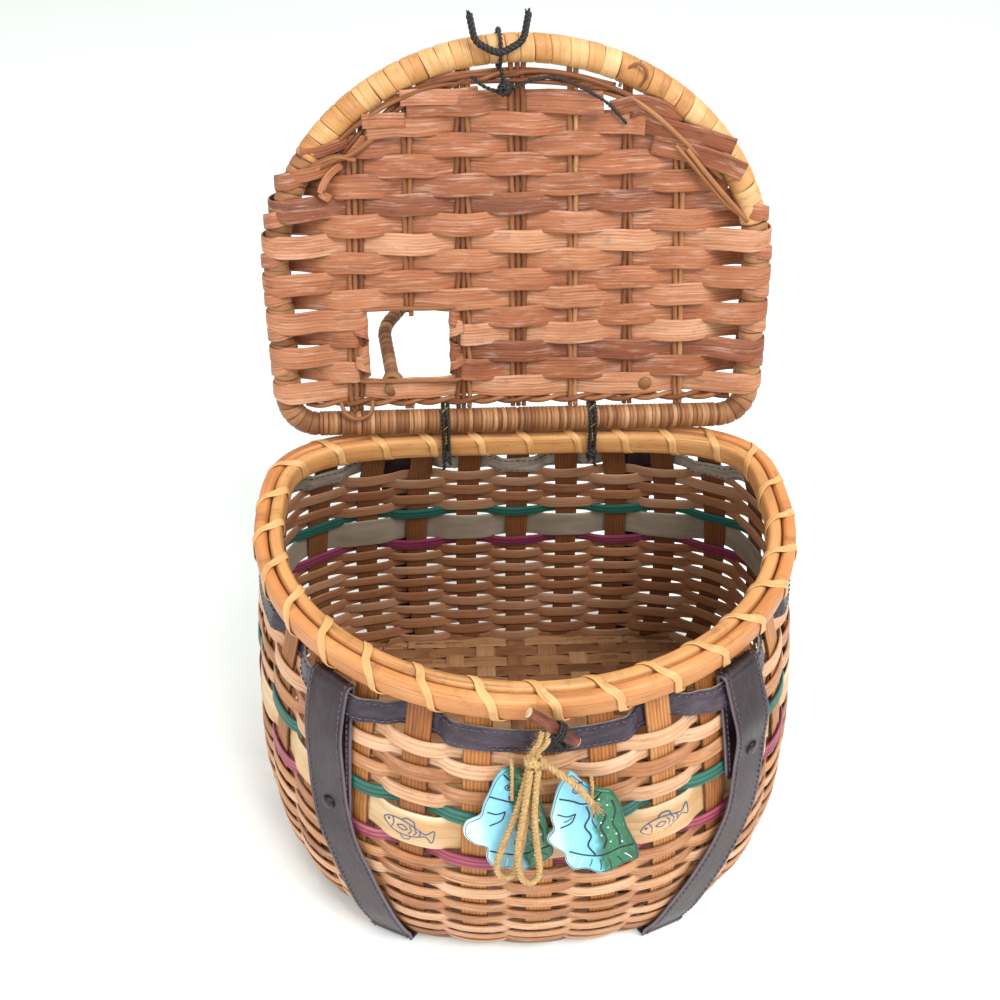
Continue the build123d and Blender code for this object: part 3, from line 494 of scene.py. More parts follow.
rod_m = reed_mat("lid_rod", [(0.0, "#4f2d1a"), (0.5, "#84532f"), (1.0, "#a87a52")], 0.55)


def band_mat():
    """broad pale splint; its blue line-drawn fish are separate strokes, not drawn by this material"""
    n = Net("pale_band", 0.5, Specular_IOR_Level=0.35)
    st = n.attr()
    s = n.sep(st)
    slow = n.noise(n.vmul(st, (0.02, 0.06, 13.0)), detail=3.0)
    fine = n.noise(n.vmul(st, (0.02, 1.7, 31.0)), detail=4.0, rough=0.65)
    col = n.ramp(n.math("MULTIPLY_ADD", fine, 0.35, n.math("MULTIPLY", slow, 0.75)), [(0.2, "#a5713f"), (0.45, "#c99c6c"), (0.62, "#d8b48a"), (0.85, "#e7d0ae")])
    col = n.mix(n.math("MULTIPLY", n.ramp(fine, [(0.3, 1.0), (0.46, 0.0)]), 0.45), col, "#6d4626")
    # painted highlight: the splint's top edge is mixed towards a pale colour, as if lit from above
    up = n.ramp(n.math("MULTIPLY_ADD", s[1], 0.05, 0.5), [(0.80, 0.0), (0.95, 1.0)])
    col = n.mix(n.math("MULTIPLY", up, 0.35), col, "#ecd9bb")
    side = n.ramp(n.attr("sd"), [(0.42, 1.0), (0.58, 0.0)])
    col = n.mix(side, col, n.ramp(slow, [(0.3, "#7f7565"), (0.7, "#a59b8a")]))
    n.color(col)
    n.bump(fine, 0.5, 0.0005)
    return n.mat


band_m = band_mat()


def leather_mat(name, a, b, c, hw, back=None):
    n = Net(name, 0.38, Specular_IOR_Level=0.35)
    o = n.obj()
    st = n.attr()
    big = n.noise(o, 26.0, 4.0, 0.6)
    creases = n.noise(n.vmul(st, (0.10, 0.35, 5.0)), 1.0, 5.0, 0.7, 0.6)
    grainn = n.noise(o, 900.0, 3.0, 0.6)
    col = n.ramp(n.math("MULTIPLY_ADD", creases, 0.5, n.math("MULTIPLY", big, 0.5)), [(0.34, a), (0.5, b), (0.68, c)])
    edge = n.ramp(n.math("MULTIPLY", n.math("ABSOLUTE", n.sep(st)[1]), 1 / hw), [(0.90, 0.0), (1.0, 1.0)])
    col = n.mix(n.math("MULTIPLY", edge, 0.55), col, "#8b7f86")
    if back:
        side = n.ramp(n.attr("sd"), [(0.42, 1.0), (0.58, 0.0)])
        col = n.mix(side, col, n.ramp(creases, [(0.3, "#7d7264"), (0.7, "#b3aa9b")]))
    n.color(col)
    rr = n.t.nodes.new("ShaderNodeMapRange")
    n.put(rr.inputs[0], creases)
    rr.inputs[1].default_value, rr.inputs[2].default_value = 0.3, 0.7
    rr.inputs[3].default_value, rr.inputs[4].default_value = 0.30, 0.5
    n.put(n.bsdf.inputs["Roughness"], rr.outputs[0])
    n.bump(n.math("MULTIPLY_ADD", grainn, 0.35, creases), 0.5, 0.0007)
    return n.mat


strap_m = leather_mat("strap_leather", "#1a1114", "#32242a", "#4a3b41", 12.5)
bandl_m = leather_mat("band_leather", "#1e161c", "#392e38", "#574a54", 6.5, "#a39a8b")


def simple(name, stops, rough=0.5, scale=200.0, bump=0.3, metallic=0.0, spec=0.5, stretch=None):
    n = Net(name, rough, Metallic=metallic, Specular_IOR_Level=spec)
    v = n.vmul(n.attr(), stretch) if stretch else n.obj()
    f = n.noise(v, 1.0 if stretch else scale, 4.0, 0.6)
    n.color(n.ramp(f, stops))
    n.bump(f, bump, 0.0004)
    return n.mat


thread_m = simple("thread", [(0.3, "#3b313b"), (0.7, "#655a66")], 0.6, 700.0)
rivet_m = simple("rivet_metal", [(0.3, "#191315"), (0.55, "#33272a"), (0.8, "#63544e")], 0.32, 300.0, 0.2, 0.6)
black_m = simple("black_cord", [(0.3, "#0e0c0b"), (0.6, "#1f1b18"), (0.85, "#3a322b")], 0.55, 600.0)
gold_m = simple("gold_thread", [(0.3, "#6c5126"), (0.7, "#c9a45c")], 0.4, 500.0)
jute_m = simple("jute", [(0.2, "#7d5a30"), (0.45, "#b48d58"), (0.62, "#cfae7c"), (0.85, "#e6d0a8")], 0.75, 900.0, 0.5, stretch=(0.5, 2.0, 71.0))
wood_m = simple("toggle_wood", [(0.25, "#2c1610"), (0.45, "#5c2c1c"), (0.62, "#7d4129"), (0.85, "#a8714a")], 0.5, 300.0, 0.6, stretch=(0.12, 1.4, 9.0))
woodend_m = simple("toggle_end", [(0.3, "#b78f64"), (0.6, "#dfc9a3"), (0.85, "#efe2c8")], 0.6, 500.0)


def reed_strip_extra(name, vals):
    pass


# ------------------------------------------------------------------ woven wall
PITCHU = 1.0 / NS
AMP = 2.15


def weave_off(u, even):
    c = np.cos(2 * pi * NS / 2 * u)
    return (1 if even else -1) * AMP * np.sign(c) * np.abs(c) ** 0.62


def ring_row(bag, dc, hh, even, seed, ht=0.85, ridges=0.16, nr=3, amp=None, step=12, sag=0.35, prof=None):
    """one weaver going round the wall: dc centre depth, hh half height"""
    n = NS * step
    u = np.arange(n) / n
    off = weave_off(u, even)
    if amp is not None:
        off = off * amp / AMP
    d = dc + wob(n, sag, 9, seed, True) + 0.25 * np.cos(2 * pi * NS * u + seed)
    hwv = hh * (1 + wob(n, 0.035, 11, seed + 7, True))
    C = wall(d, u, off)
    up = unitv(wall(d - 3, u, off) - wall(d + 3, u, off))
    N = wall_n(d, u)
    tilt = wob(n, 0.05, 7, seed + 3, True)
    B = unitv(up + N * tilt[:, None])
    N = unitv(N - B * np.einsum("ij,ij->i", N, B)[:, None])
    r = np.random.default_rng(seed).random()
    sweep(bag, C, B, N, hwv, ht, prof or reed_profile(24, 0.5, ridges, nr), closed=True, rnd=r)


rows_up = [32.0 + 6.96 * (k + 0.5) for k in range(5)]
rows_low = [101.6 + 5.93 * (k + 0.5) for k in range(14)]
b_up = Bag()
for k, dc in enumerate(rows_up):
    ring_row(b_up, dc, 4.15, k % 2 == 0, 100 + k, ht=0.75, ridges=0.05, nr=5, sag=0.5)
b_up.build("upper_weave_reeds", "basket", wall_m, ["upper_weave"], "wall_reed")
b_gr = Bag()
ring_row(b_gr, 70.0, 3.9, False, 131)
b_gr.build("green_row_reed", "basket", green_m, ["green_row"], "green_reed")
b_mg = Bag()
ring_row(b_mg, 98.0, 4.0, False, 137)
b_mg.build("magenta_row_reed", "basket", mag_m, ["magenta_row"], "magenta_reed")
b_wb = Bag()
ring_row(b_wb, 83.8, 10.7, True, 141, ht=0.7, ridges=0.02, nr=6, sag=0.15, prof=reed_profile(40, 0.25, 0.03, 9, 0.05))
b_wb.build("wide_band_splint", "basket", band_m, ["wide_band"], "pale_band")
b_lo = Bag()
for k, dc in enumerate(rows_low):
    ring_row(b_lo, dc, 3.55 if k < 13 else 3.1, k % 2 == 0, 150 + k, ht=0.75, ridges=0.05, nr=5, sag=0.4)
b_lo.build("lower_weave_reeds", "basket", wallb_m, ["lower_weave"], "wall_reed")

# upright stakes, ribbed along the grain, leaning in and out against the weavers
b_st = Bag()
for k in range(NS):
    dd = np.linspace(4.6, 184.6, 62)
    u0 = k / NS
    C = wall(dd, u0, 0.0)
    g = np.random.default_rng(300 + k)
    N = wall_n(dd, u0)
    off = np.zeros(len(dd))
    for j, dc in enumerate(rows_up + [70.0, 83.8, 98.0] + rows_low):
        evn = (j % 2 == 0)
        s_ = 1 if (evn == (k % 2 == 0)) else -1
        off += -s_ * 0.28 * np.exp(-((dd - dc) / 3.0) ** 2)
    C = C + N * off[:, None]
    T = unitv(np.gradient(C, axis=0))
    B = unitv(np.cross(T, N))
    tw = wob(len(dd), 0.02, 3, 311 + k)
    B = unitv(B + N * tw[:, None])
    N2 = unitv(np.cross(B, T))
    hwv = np.full(len(dd), 6.7) * (1 + wob(len(dd), 0.02, 4, 350 + k))
    sweep(b_st, C, B, N2, hwv, 1.1, reed_profile(44, 0.35, 0.10, 9, 0.18), rnd=g.random())
b_st.build("wall_stakes_reeds", "basket", stake_m, ["wall_stakes"], "stake_reed")

# line-drawn fish on the front of the broad splint, one left and one right
def decal_line(bag, pts, u0, d0, flip, r=0.33):
    """thin raised stroke of paint on the splint; pts in mm about (u0, d0)"""
    L = TAB_L[84]
    P = catmull(np.array(pts, float), 6)
    u = u0 + (P[:, 0] * flip) / L
    d = d0 - P[:, 1]
    off = weave_off(u, True) + 0.72
    C = wall(d, u, off)
    tube(bag, C, r, 6)


FISHLINE = [
    [(-15, 0), (-12, 3.4), (-6, 5.4), (1, 4.8), (8, 2.2), (11.5, 0.9), (15.5, 4.6), (16.2, 0.2), (15.2, -4.4), (11.5, -1.0), (6, -3.2), (-1, -4.9), (-8, -4.6), (-13, -2.4), (-15, 0)],
    [(-9.4, 4.1), (-8.2, 0.6), (-9.2, -4.0)],
    [(-12.2, 1.2), (-11.6, 1.9), (-11.0, 1.2), (-11.6, 0.6), (-12.2, 1.2)],
    [(-4, 5.3), (-1, 8.2), (3.5, 7.2), (4.6, 3.9)],
    [(-3, -4.9), (-1.4, -7.6), (2.4, -6.6), (3.0, -4.3)],
    [(-6, 0.2), (-2.5, 2.0), (0.5, 0.2), (-2.5, -1.6), (-6, 0.2)],
    [(1.5, 3.2), (3.0, 0.2), (1.5, -2.9)], [(4.6, 2.6), (6.0, 0.2), (4.6, -2.3)], [(7.6, 1.6), (8.6, 0.1), (7.6, -1.4)],
]
blue_m = simple("fish_line_paint", [(0.3, "#23435e"), (0.7, "#3f6f93")], 0.5, 500.0)
b_fl = Bag()
for u0, tiltf in ((-2 / NS - 0.002, -0.12), (2 / NS - 0.001, 0.16)):
    for ln in FISHLINE:
        P = [(x * cos(tiltf) - y * sin(tiltf), x * sin(tiltf) + y * cos(tiltf)) for x, y in [(x * 0.86, y * 0.86) for x, y in ln]]
        decal_line(b_fl, P, u0, 84.5, 1)
b_fl.build("band_fish_lines", "basket", blue_m)

# ------------------------------------------------------------------ rim
def hoop(bag, off_c, hw_, seed, d_c=6.75, hh=6.65):
    n = NS * 10
    u = np.arange(n) / n
    d = np.full(n, d_c)
    C = wall(d, u, off_c)
    up = np.tile([0, 0, 1.0], (n, 1))
    N = wall_n(d, u)
    pb, pn = reed_profile(36, 0.42, 0.0)
    th = 2 * pi * (np.arange(36) + 0.5) / 36
    pb = np.sign(np.cos(th)) * np.abs(np.cos(th)) ** 0.5
    pn = np.sign(np.sin(th)) * np.abs(np.sin(th)) ** 0.7
    sweep(bag, C, up, N, hh * (1 + wob(n, 0.01, 5, seed, True)), hw_, (pb, pn), closed=True, rnd=np.random.default_rng(seed).random())


b_ho = Bag()
hoop(b_ho, 3.85, 3.62, 401)
b_ho.build("rim_outer_hoop_reed", "basket", rim_out_m, ["rim_outer_hoop"], "rim_outer")
b_hi = Bag()
hoop(b_hi, -3.85, 3.62, 402)
b_hi.build("rim_inner_hoop_reed", "basket", rim_in_m, ["rim_inner_hoop"], "rim_inner")

b_bi = Bag()
PER = 44
n = NS * PER
tt = np.arange(n) / n
ph = tt * NS * 2 * pi                       # 0 = top of the rim
uu = tt + 0.0016 * np.sin(2 * ph) + 0.0005 * wob(n, 1.0, 12, 420, True)
# quick over the outside, slow under and inside
co, so = np.cos(ph), np.sin(ph)
offb = 8.05 * np.sign(so) * np.abs(so) ** 0.6
dep = 6.75 - 7.3 * np.sign(co) * np.abs(co) ** 0.52
C = wall(dep, uu, offb)
T = unitv(np.roll(C, -1, 0) - np.roll(C, 1, 0))
Cc = wall(np.full(n, 6.75), uu, 0.0)
N = C - Cc
N[:, 0] /= 1.0
N = unitv(N - T * np.einsum("ij,ij->i", N, T)[:, None])
B = np.cross(T, N)
sweep(b_bi, C, B, N, 2.1 * (1 + wob(n, 0.08, 14, 421, True)), 0.42, reed_profile(16, 0.4, 0.05, 3, 0.15), closed=True, rnd=0.5)
b_bi.build("rim_binding_cane", "basket", cane_m, ["rim_binding"], "cane_binding")

# ------------------------------------------------------------------ leather band and straps
BEHIND = (2, 5, 8, 10, 14, 18, 20, 23, 26)
MID_L = TAB_L[0]


def u_of_x(x, depth, front=True):
    lo, hi = (0.0, 0.25) if front else (0.25, 0.5)
    for _ in range(30):
        mm_ = (lo + hi) / 2
        xm = wall(depth, mm_)[0]
        if (xm < abs(x)) == front:
            lo = mm_
        else:
            hi = mm_
    mm_ = (lo + hi) / 2
    return mm_ if x > 0 else 1 - mm_


def smooth(v):
    v = np.clip(v, 0, 1)
    return v * v * (3 - 2 * v)


LIFTS = [u_of_x(-94, 25), u_of_x(-71, 25, False), u_of_x(94, 25), u_of_x(71, 25, False)]


def band_offset(u):
    val = np.full(len(u), 2.95)
    for j in BEHIND:
        du = np.abs((u - j / NS + 0.5) % 1.0 - 0.5) * MID_L
        w = 1 - smooth((du - STAKE_W / 2 - 0.8) / 10.0)
        val = val * (1 - w) + (-2.6) * w
    for us in LIFTS:
        du = np.abs((u - us + 0.5) % 1.0 - 0.5) * MID_L
        w = 1 - smooth((du - STRAP_W / 2 - 1.2) / 13.0)
        val = val * (1 - w) + 7.3 * w
    return val


def strip_profile(m=48, e=0.3, b_exp=0.75, dome=0.05):
    th = 2 * pi * (np.arange(m) + 0.5) / m
    c, s = np.cos(th), np.sin(th)
    b = np.sign(c) * np.abs(c) ** b_exp
    nn = np.sign(s) * np.abs(s) ** e * (1 + dome * (1 - b**2)) / (1 + dome)
    return b, nn


def stitches(bag, C, B, N, across, out, pitch=3.4, ln=2.3, r=0.36, start=6.0, end=6.0, closed=False):
    """row of thread stitches lying on the leather, across mm from its middle"""
    P = C + B * across + N * out
    L = np.concatenate([[0], np.cumsum(np.linalg.norm(np.diff(P, axis=0), axis=1))])
    k = start
    g = np.random.default_rng(int(abs(across) * 100) + len(C))
    while k + ln < L[-1] - end:
        s = np.linspace(k, k + ln, 5)
        Q = np.stack([np.interp(s, L, P[:, i]) for i in range(3)], 1)
        if Q[:, 2].min() < 1.0:          # the run under the base is bare, so nothing lifts the basket
            k += pitch
            continue
        Nn = unitv(np.stack([np.interp(s, L, N[:, i]) for i in range(3)], 1))
        Q = Q + Nn * (np.array([-0.30, 0.0, 0.12, 0.0, -0.30]))[:, None] + g.normal(0, 0.04, (1, 3))
        tube(bag, Q, [r * 0.6, r, r, r, r * 0.6], 5)
        k += pitch


n = 980
u = np.arange(n) / n
offc = band_offset(u)
lowwob = wob(n, 0.35, 40, 501, True) + np.random.default_rng(5).normal(0, 0.10, n)
Cb = wall(25.4, u, offc)
upb = unitv(wall(19.0, u, offc) - wall(31.8, u, offc))
Nb = unitv(np.cross(unitv(np.roll(Cb, -1, 0) - np.roll(Cb, 1, 0)), upb))
Nb = np.where((np.einsum("ij,ij->i", Nb, wall_n(25.0, u)) < 0)[:, None], -Nb, Nb)
b_lb = Bag()
Cw = Cb + upb * (-0.15 + 0.5 * lowwob)[:, None]
hb = 6.3 - 0.45 * np.abs(lowwob)
cup = wob(n, 0.12, 20, 502, True)
sweep(b_lb, Cw, unitv(upb + Nb * cup[:, None]), Nb, hb, 0.85, strip_profile(40, 0.35), closed=True, rnd=0.4)
b_lb.build("leather_band_strip", "basket", bandl_m, ["leather_band"], "band_leather")
b_th = Bag()
Cc2, Bc2, Nc2 = np.vstack([Cb, Cb[:1]]), np.vstack([upb, upb[:1]]), np.vstack([Nb, Nb[:1]])
for a in (4.35, -4.2):
    stitches(b_th, Cc2, Bc2, Nc2, a, 0.92, pitch=3.6)
    stitches(b_th, Cc2, Bc2, Nc2, a, -0.92, pitch=3.6)

FRONT_RUN = {
    "left": [(30, -95, 10.0), (45, -98, 8.6), (65, -99, 7.4), (86, -99, 6.8), (104, -96.5, 6.8),
             (122, -92.5, 5.4), (140, -88, 4.8), (158, -83, 4.8), (172, -79, 4.8), (182, -76.5, 4.8)],
    "right": [(30, 95, 11.0), (45, 98, 12.0), (62, 101, 8.6), (75, 101, 8.2), (96, 100, 7.6),
              (114, 95, 6.6), (134, 87, 5.4), (152, 79, 4.8), (168, 73, 4.8), (182, 69, 4.8)],
}
TAIL_END = {"left": 97.0, "right": 78.0}
RIVET_DEPTH = {"left": 86.0, "right": 62.0}
BACK_RUN = [(30, 71, 10.0), (50, 71, 7.4), (70, 71, 6.8), (92, 71, 6.8), (110, 71, 5.2), (130, 71, 4.8),
            (150, 71, 4.8), (168, 71, 4.8), (182, 71, 4.8)]


def tan_n(depth, uu_):
    nn_ = wall_n(depth, uu_)
    nn_[2] = 0
    nn_ /= np.linalg.norm(nn_)
    return np.array([-nn_[1], nn_[0], 0.0]), nn_


def station(depth, x, off, front=True):
    uu_ = u_of_x(x, depth, front)
    t, nn_ = tan_n(depth, uu_)
    p = wall(depth, uu_, off)
    return p, (t if front else -t)


def fold(front, x0):
    uu_ = u_of_x(x0, 25, front)
    out = []
    for a in (180, 150, 120, 90, 60, 30, 0):
        p = wall(18.75, uu_, 7.2 + 2.8 * cos(radians(a)))
        p[2] = RIM_TOP - (18.75 - 2.8 * sin(radians(a)))
        t, nn_ = tan_n(18.75, uu_)
        out.append((p, t if front else -t))
    return out


def strap_path(side):
    sg = -1 if side == "left" else 1
    run = FRONT_RUN[side]
    p = []
    for d in (TAIL_END[side], RIVET_DEPTH[side], 48, 32):
        x = run[0][1] + (run[3][1] - run[0][1]) * (d - 30) / (run[3][0] - 30)
        p.append(station(d, x, 4.4 if d < 40 else 4.6))
    p += fold(True, 94 * sg)
    p += [station(*r_) for r_ in run]
    (b0, w) = p[-1]
    (e0, w2) = station(182, 71 * sg, 4.8, False)
    nb = np.array([-w[1], w[0], 0.0])
    ne = np.array([w2[1], -w2[0], 0.0])
    nb = nb if nb[1] > 0 else -nb
    ne = ne if ne[1] < 0 else -ne
    for q, z in ((0.1, 5.0), (0.7, 3.2), (1.9, 1.7), (4.0, 1.0)):
        v = b0 + nb * q
        v[2] = z
        p.append((v, w))
    f0, g0 = b0 + nb * 8.0, e0 + ne * 8.0
    f0[2] = g0[2] = 1.0
    p.append((f0, w))
    for f in (0.15, 0.4, 0.6, 0.85):
        p.append((f0 + (g0 - f0) * f, np.array([1.0, 0, 0])))
    p.append((g0, w2))
    for q, z in ((4.0, 1.0), (1.9, 1.7), (0.7, 3.2), (0.1, 5.0)):
        v = e0 + ne * q
        v[2] = z
        p.append((v, w2))
    for d, x, o in reversed(BACK_RUN):
        p.append(station(d, x * sg, o, False))
    p += list(reversed(fold(False, 71 * sg)))
    for d in (32, 50, 70, 84):
        p.append(station(d, 71 * sg, 4.4 if d < 40 else 4.6, False))
    return p


def rivet_at(bag, c, nrm, w, r=3.9, h=1.5):
    """small domed rivet head"""
    v = np.cross(nrm, w)
    prof_ = [(0.0, 1.0), (0.35, 0.96), (0.62, 0.84), (0.84, 0.60), (0.96, 0.32), (1.0, 0.0), (0.97, -0.25)]
    m = 28
    th = 2 * pi * np.arange(m) / m
    V = [c + nrm * h * 1.0]
    st = [(0, 0, 0)]
    for rr, hh in prof_[1:]:
        for a in th:
            V.append(c + (w * cos(a) + v * sin(a)) * rr * r + nrm * hh * h)
            st.append((rr * 5, a, 0))
    T = [(0, 1 + k, 1 + (k + 1) % m) for k in range(m)]
    Q = []
    for q in range(len(prof_) - 2):
        for k in range(m):
            a0 = 1 + q * m
            Q.append((a0 + k, a0 + m + k, a0 + m + (k + 1) % m, a0 + (k + 1) % m))
    bag.add(V, Q=Q, T=T, st=st, sd=np.zeros(len(V)))


b_ri = Bag()
for side in ("left", "right"):
    pth = strap_path(side)
    P = catmull(np.array([q[0] for q in pth]), 8)
    W = catmull(np.array([q[1] for q in pth]), 8)
    P = resample(np.hstack([P, W]), 1.6)
    P, W = P[:, :3], P[:, 3:]
    P[:, 2] = np.maximum(P[:, 2], 1.0)
    T = unitv(np.gradient(P, axis=0))
    W = unitv(W - T * np.einsum("ij,ij->i", W, T)[:, None])
    N = np.cross(T, W)
    mid = np.array([0, 0, 95.0])
    # outward = away from the wall on the outer run
    k0 = int(np.argmin(np.abs(P[:, 2] - 80) + (P[:, 1] > 0) * 1e3))
    if N[k0][1] > 0:
        N = -N
    nn_ = len(P)
    sd_ = 520 if side == "left" else 530
    free = np.clip((P[:, 2] - 8) / 20, 0, 1)
    curl = wob(nn_, 0.045, 9, sd_) * free
    wid = 12.35 * (1 + wob(nn_, 0.012, 14, sd_ + 1))
    Wt = unitv(W + N * curl[:, None])
    Nt = unitv(N - Wt * np.einsum("ij,ij->i", N, Wt)[:, None])
    endsq = np.minimum(1.0, 0.86 + 0.14 * np.minimum(np.arange(nn_), np.arange(nn_)[::-1]) / 3.0)
    b_s = Bag()
    sweep(b_s, P, Wt, Nt, wid * endsq, 0.95, strip_profile(48, 0.28, 0.8, 0.04), rnd=0.3 if side == "left" else 0.7)
    b_s.build("strap_%s_leather" % side, "basket", strap_m, ["strap_" + side], "strap_leather")
    for a in (9.9, -9.9):
        stitches(b_th, P, Wt, Nt, a, 0.97)
        stitches(b_th, P, Wt, Nt, a, -0.97)
    run = FRONT_RUN[side]
    kk = [i for i, r_ in enumerate(run) if r_[0] == RIVET_DEPTH[side]][0] + 4 + 7
    c0 = np.array(pth[kk][0])
    j = int(np.argmin(np.linalg.norm(P - c0, axis=1)))
    rivet_at(b_ri, P[j] + Nt[j] * 1.35, Nt[j], Wt[j])
b_th.build("leather_stitching", "basket", thread_m)
b_ri.build("strap_rivet_heads", "basket", rivet_m, ["strap_rivets"], "rivet_metal")

# ------------------------------------------------------------------ woven base
b_ba = Bag()
outl = wall(np.full(720, 186.0), np.arange(720) / 720, 0.0)


def half_y(x, front):
    o = outl[outl[:, 1] < Y_WIDE] if front else outl[outl[:, 1] >= Y_WIDE]
    o = o[np.argsort(o[:, 0])]
    return np.interp(x, o[:, 0], o[:, 1])


# stakes carried across underneath, front to back
xs_b = np.linspace(-126, 126, 13)
for k, x in enumerate(xs_b):
    y0, y1 = half_y(x, True) + 3.5, half_y(x, False) - 3.5
    y = np.linspace(y0, y1, 90)
    z = 4.75 + 0.75 * np.cos(pi * (y - y0) / 9.0 + (k % 2) * pi)
    z = np.where(np.abs(y - y0) < 6, 4.75, z)
    C = np.stack([np.full(90, x), y, z], 1)
    sweep(b_ba, C, np.tile([1.0, 0, 0], (90, 1)), np.tile([0, 0, 1.0], (90, 1)), 6.4, 0.8, reed_profile(24, 0.35, 0.08, 5, 0.1), rnd=(k * 0.37) % 1)
# cross weavers
ycs = np.arange(-112, 106, 9.0)
for k, y in enumerate(ycs):
    xx = np.linspace(-150, 150, 301)
    ok = (half_y(xx, True) + 2.5 < y) & (y < half_y(xx, False) - 2.5) & (np.abs(xx) < 139.5)
    xx = xx[ok]
    if len(xx) < 12:
        continue
    xx = np.linspace(xx[0], xx[-1], 170)
    z = 4.75 - 0.75 * np.cos(pi * (xx - xs_b[0]) / 21.0 + (k % 2) * pi)
    C = np.stack([xx, np.full(170, y), z], 1)
    sweep(b_ba, C, np.tile([0, 1.0, 0], (170, 1)), np.tile([0, 0, 1.0], (170, 1)), 4.2, 0.75, reed_profile(20, 0.4, 0.1, 3, 0.1), rnd=(k * 0.61 + 0.2) % 1)
# foot weavers round the turn of the base: two flat reeds and a round one
nfo = NS * 12
uf = np.arange(nfo) / nfo
for k, (dd_, of_, hh_, ti) in enumerate(((184.0, 1.6, 2.6, 0.35), (186.8, -1.2, 2.6, 0.9))):
    offs = weave_off(uf, k % 2 == 0) * 0.55 + of_
    C = wall(dd_ + wob(nfo, 0.2, 9, 560 + k, True), uf, offs - 1.0)
    N = wall_n(np.full(nfo, 186.0), uf)
    up = np.tile([0, 0, 1.0], (nfo, 1))
    B = unitv(up * cos(ti) + N * sin(ti))
    N2 = unitv(N * cos(ti) - up * sin(ti))
    sweep(b_ba, C, B, N2, hh_, 0.8, reed_profile(24, 0.5, 0.14, 3), closed=True, rnd=0.3 + 0.3 * k)
C = wall(np.full(nfo, 188.1), uf, -3.9 + 0.3 * np.cos(2 * pi * NS / 2 * uf))
tube(b_ba, C, 1.8, 10, closed=True, rnd=0.2)
b_ba.build("base_weave_reeds", "basket", base_reed_shaded_m, ["base_weave"], "base_reed")

# ------------------------------------------------------------------ lid
LEAN = radians(15.0)
cl, sl = cos(LEAN), sin(LEAN)
HINGE_Y, HINGE_Z = 98.0, 198.9
LID_HALF, LID_LEN, LID_S0, LID_CORNER, LID_ROD = 131.0, 200.0, 84.0, 16.0, 7.5


def lid(P):
    """lid coordinates (x, s up the lid, z towards the inner face) to the shared frame"""
    P = np.asarray(P, float)
    x, s, z = P[..., 0], P[..., 1], P[..., 2]
    return np.stack([x, HINGE_Y + s * sl - z * cl, HINGE_Z + s * cl + z * sl], -1)


def ldir(v):
    v = np.asarray(v, float)
    x, s, z = v[..., 0], v[..., 1], v[..., 2]
    return np.stack([x, s * sl - z * cl, s * cl + z * sl], -1)


def half_w(s, inset=0.0):
    """half width of the lid's border centreline at height s"""
    s = np.asarray(s, float)
    w = LID_HALF - inset
    h = LID_LEN - LID_S0 - inset
    arch = w * np.sqrt(np.clip(1 - ((s - LID_S0) / h) ** 2, 0, 1))
    c = LID_CORNER - inset
    low = w - c + np.sqrt(np.clip(c**2 - np.clip(inset + c - s, 0, c) ** 2, 0, None))
    return np.where(s > LID_S0, arch, np.where(s < inset + c, low, w))


def border_line(step=0.9):
    w, c, h = LID_HALF, LID_CORNER, LID_LEN - LID_S0
    pts = [(0.0, 0.0)]
    pts += [(x, 0.0) for x in np.linspace(0, w - c, 60)[1:]]
    pts += [(w - c + c * sin(a), c - c * cos(a)) for a in np.linspace(0, pi / 2, 20)[1:]]
    pts += [(w, s) for s in np.linspace(c, LID_S0, 40)[1:]]
    pts += [(w * cos(a), LID_S0 + h * sin(a)) for a in np.linspace(0, pi, 240)[1:]]
    pts += [(-w, s) for s in np.linspace(LID_S0, c, 40)[1:]]
    pts += [(-(w - c) - c * sin(a), c - c * cos(a)) for a in np.linspace(pi / 2, 0, 20)[1:]]
    pts += [(x, 0.0) for x in np.linspace(-(w - c), 0, 60)[1:]]
    return resample(np.array(pts, float), step)


BL = border_line()
BLS = np.concatenate([[0], np.cumsum(np.hypot(*np.diff(BL, axis=0).T))])
# core rod
b_rod = Bag()
Cr = BL[:-1:3]
Cr3 = lid(np.column_stack([Cr, np.zeros(len(Cr))]))
tube(b_rod, Cr3, 6.3, 20, closed=True, ref=ldir((0, 0, 1.0)))
b_rod.build("lid_rod_core", "lid", rod_m, ["lid_border_rod"], "lid_rod")


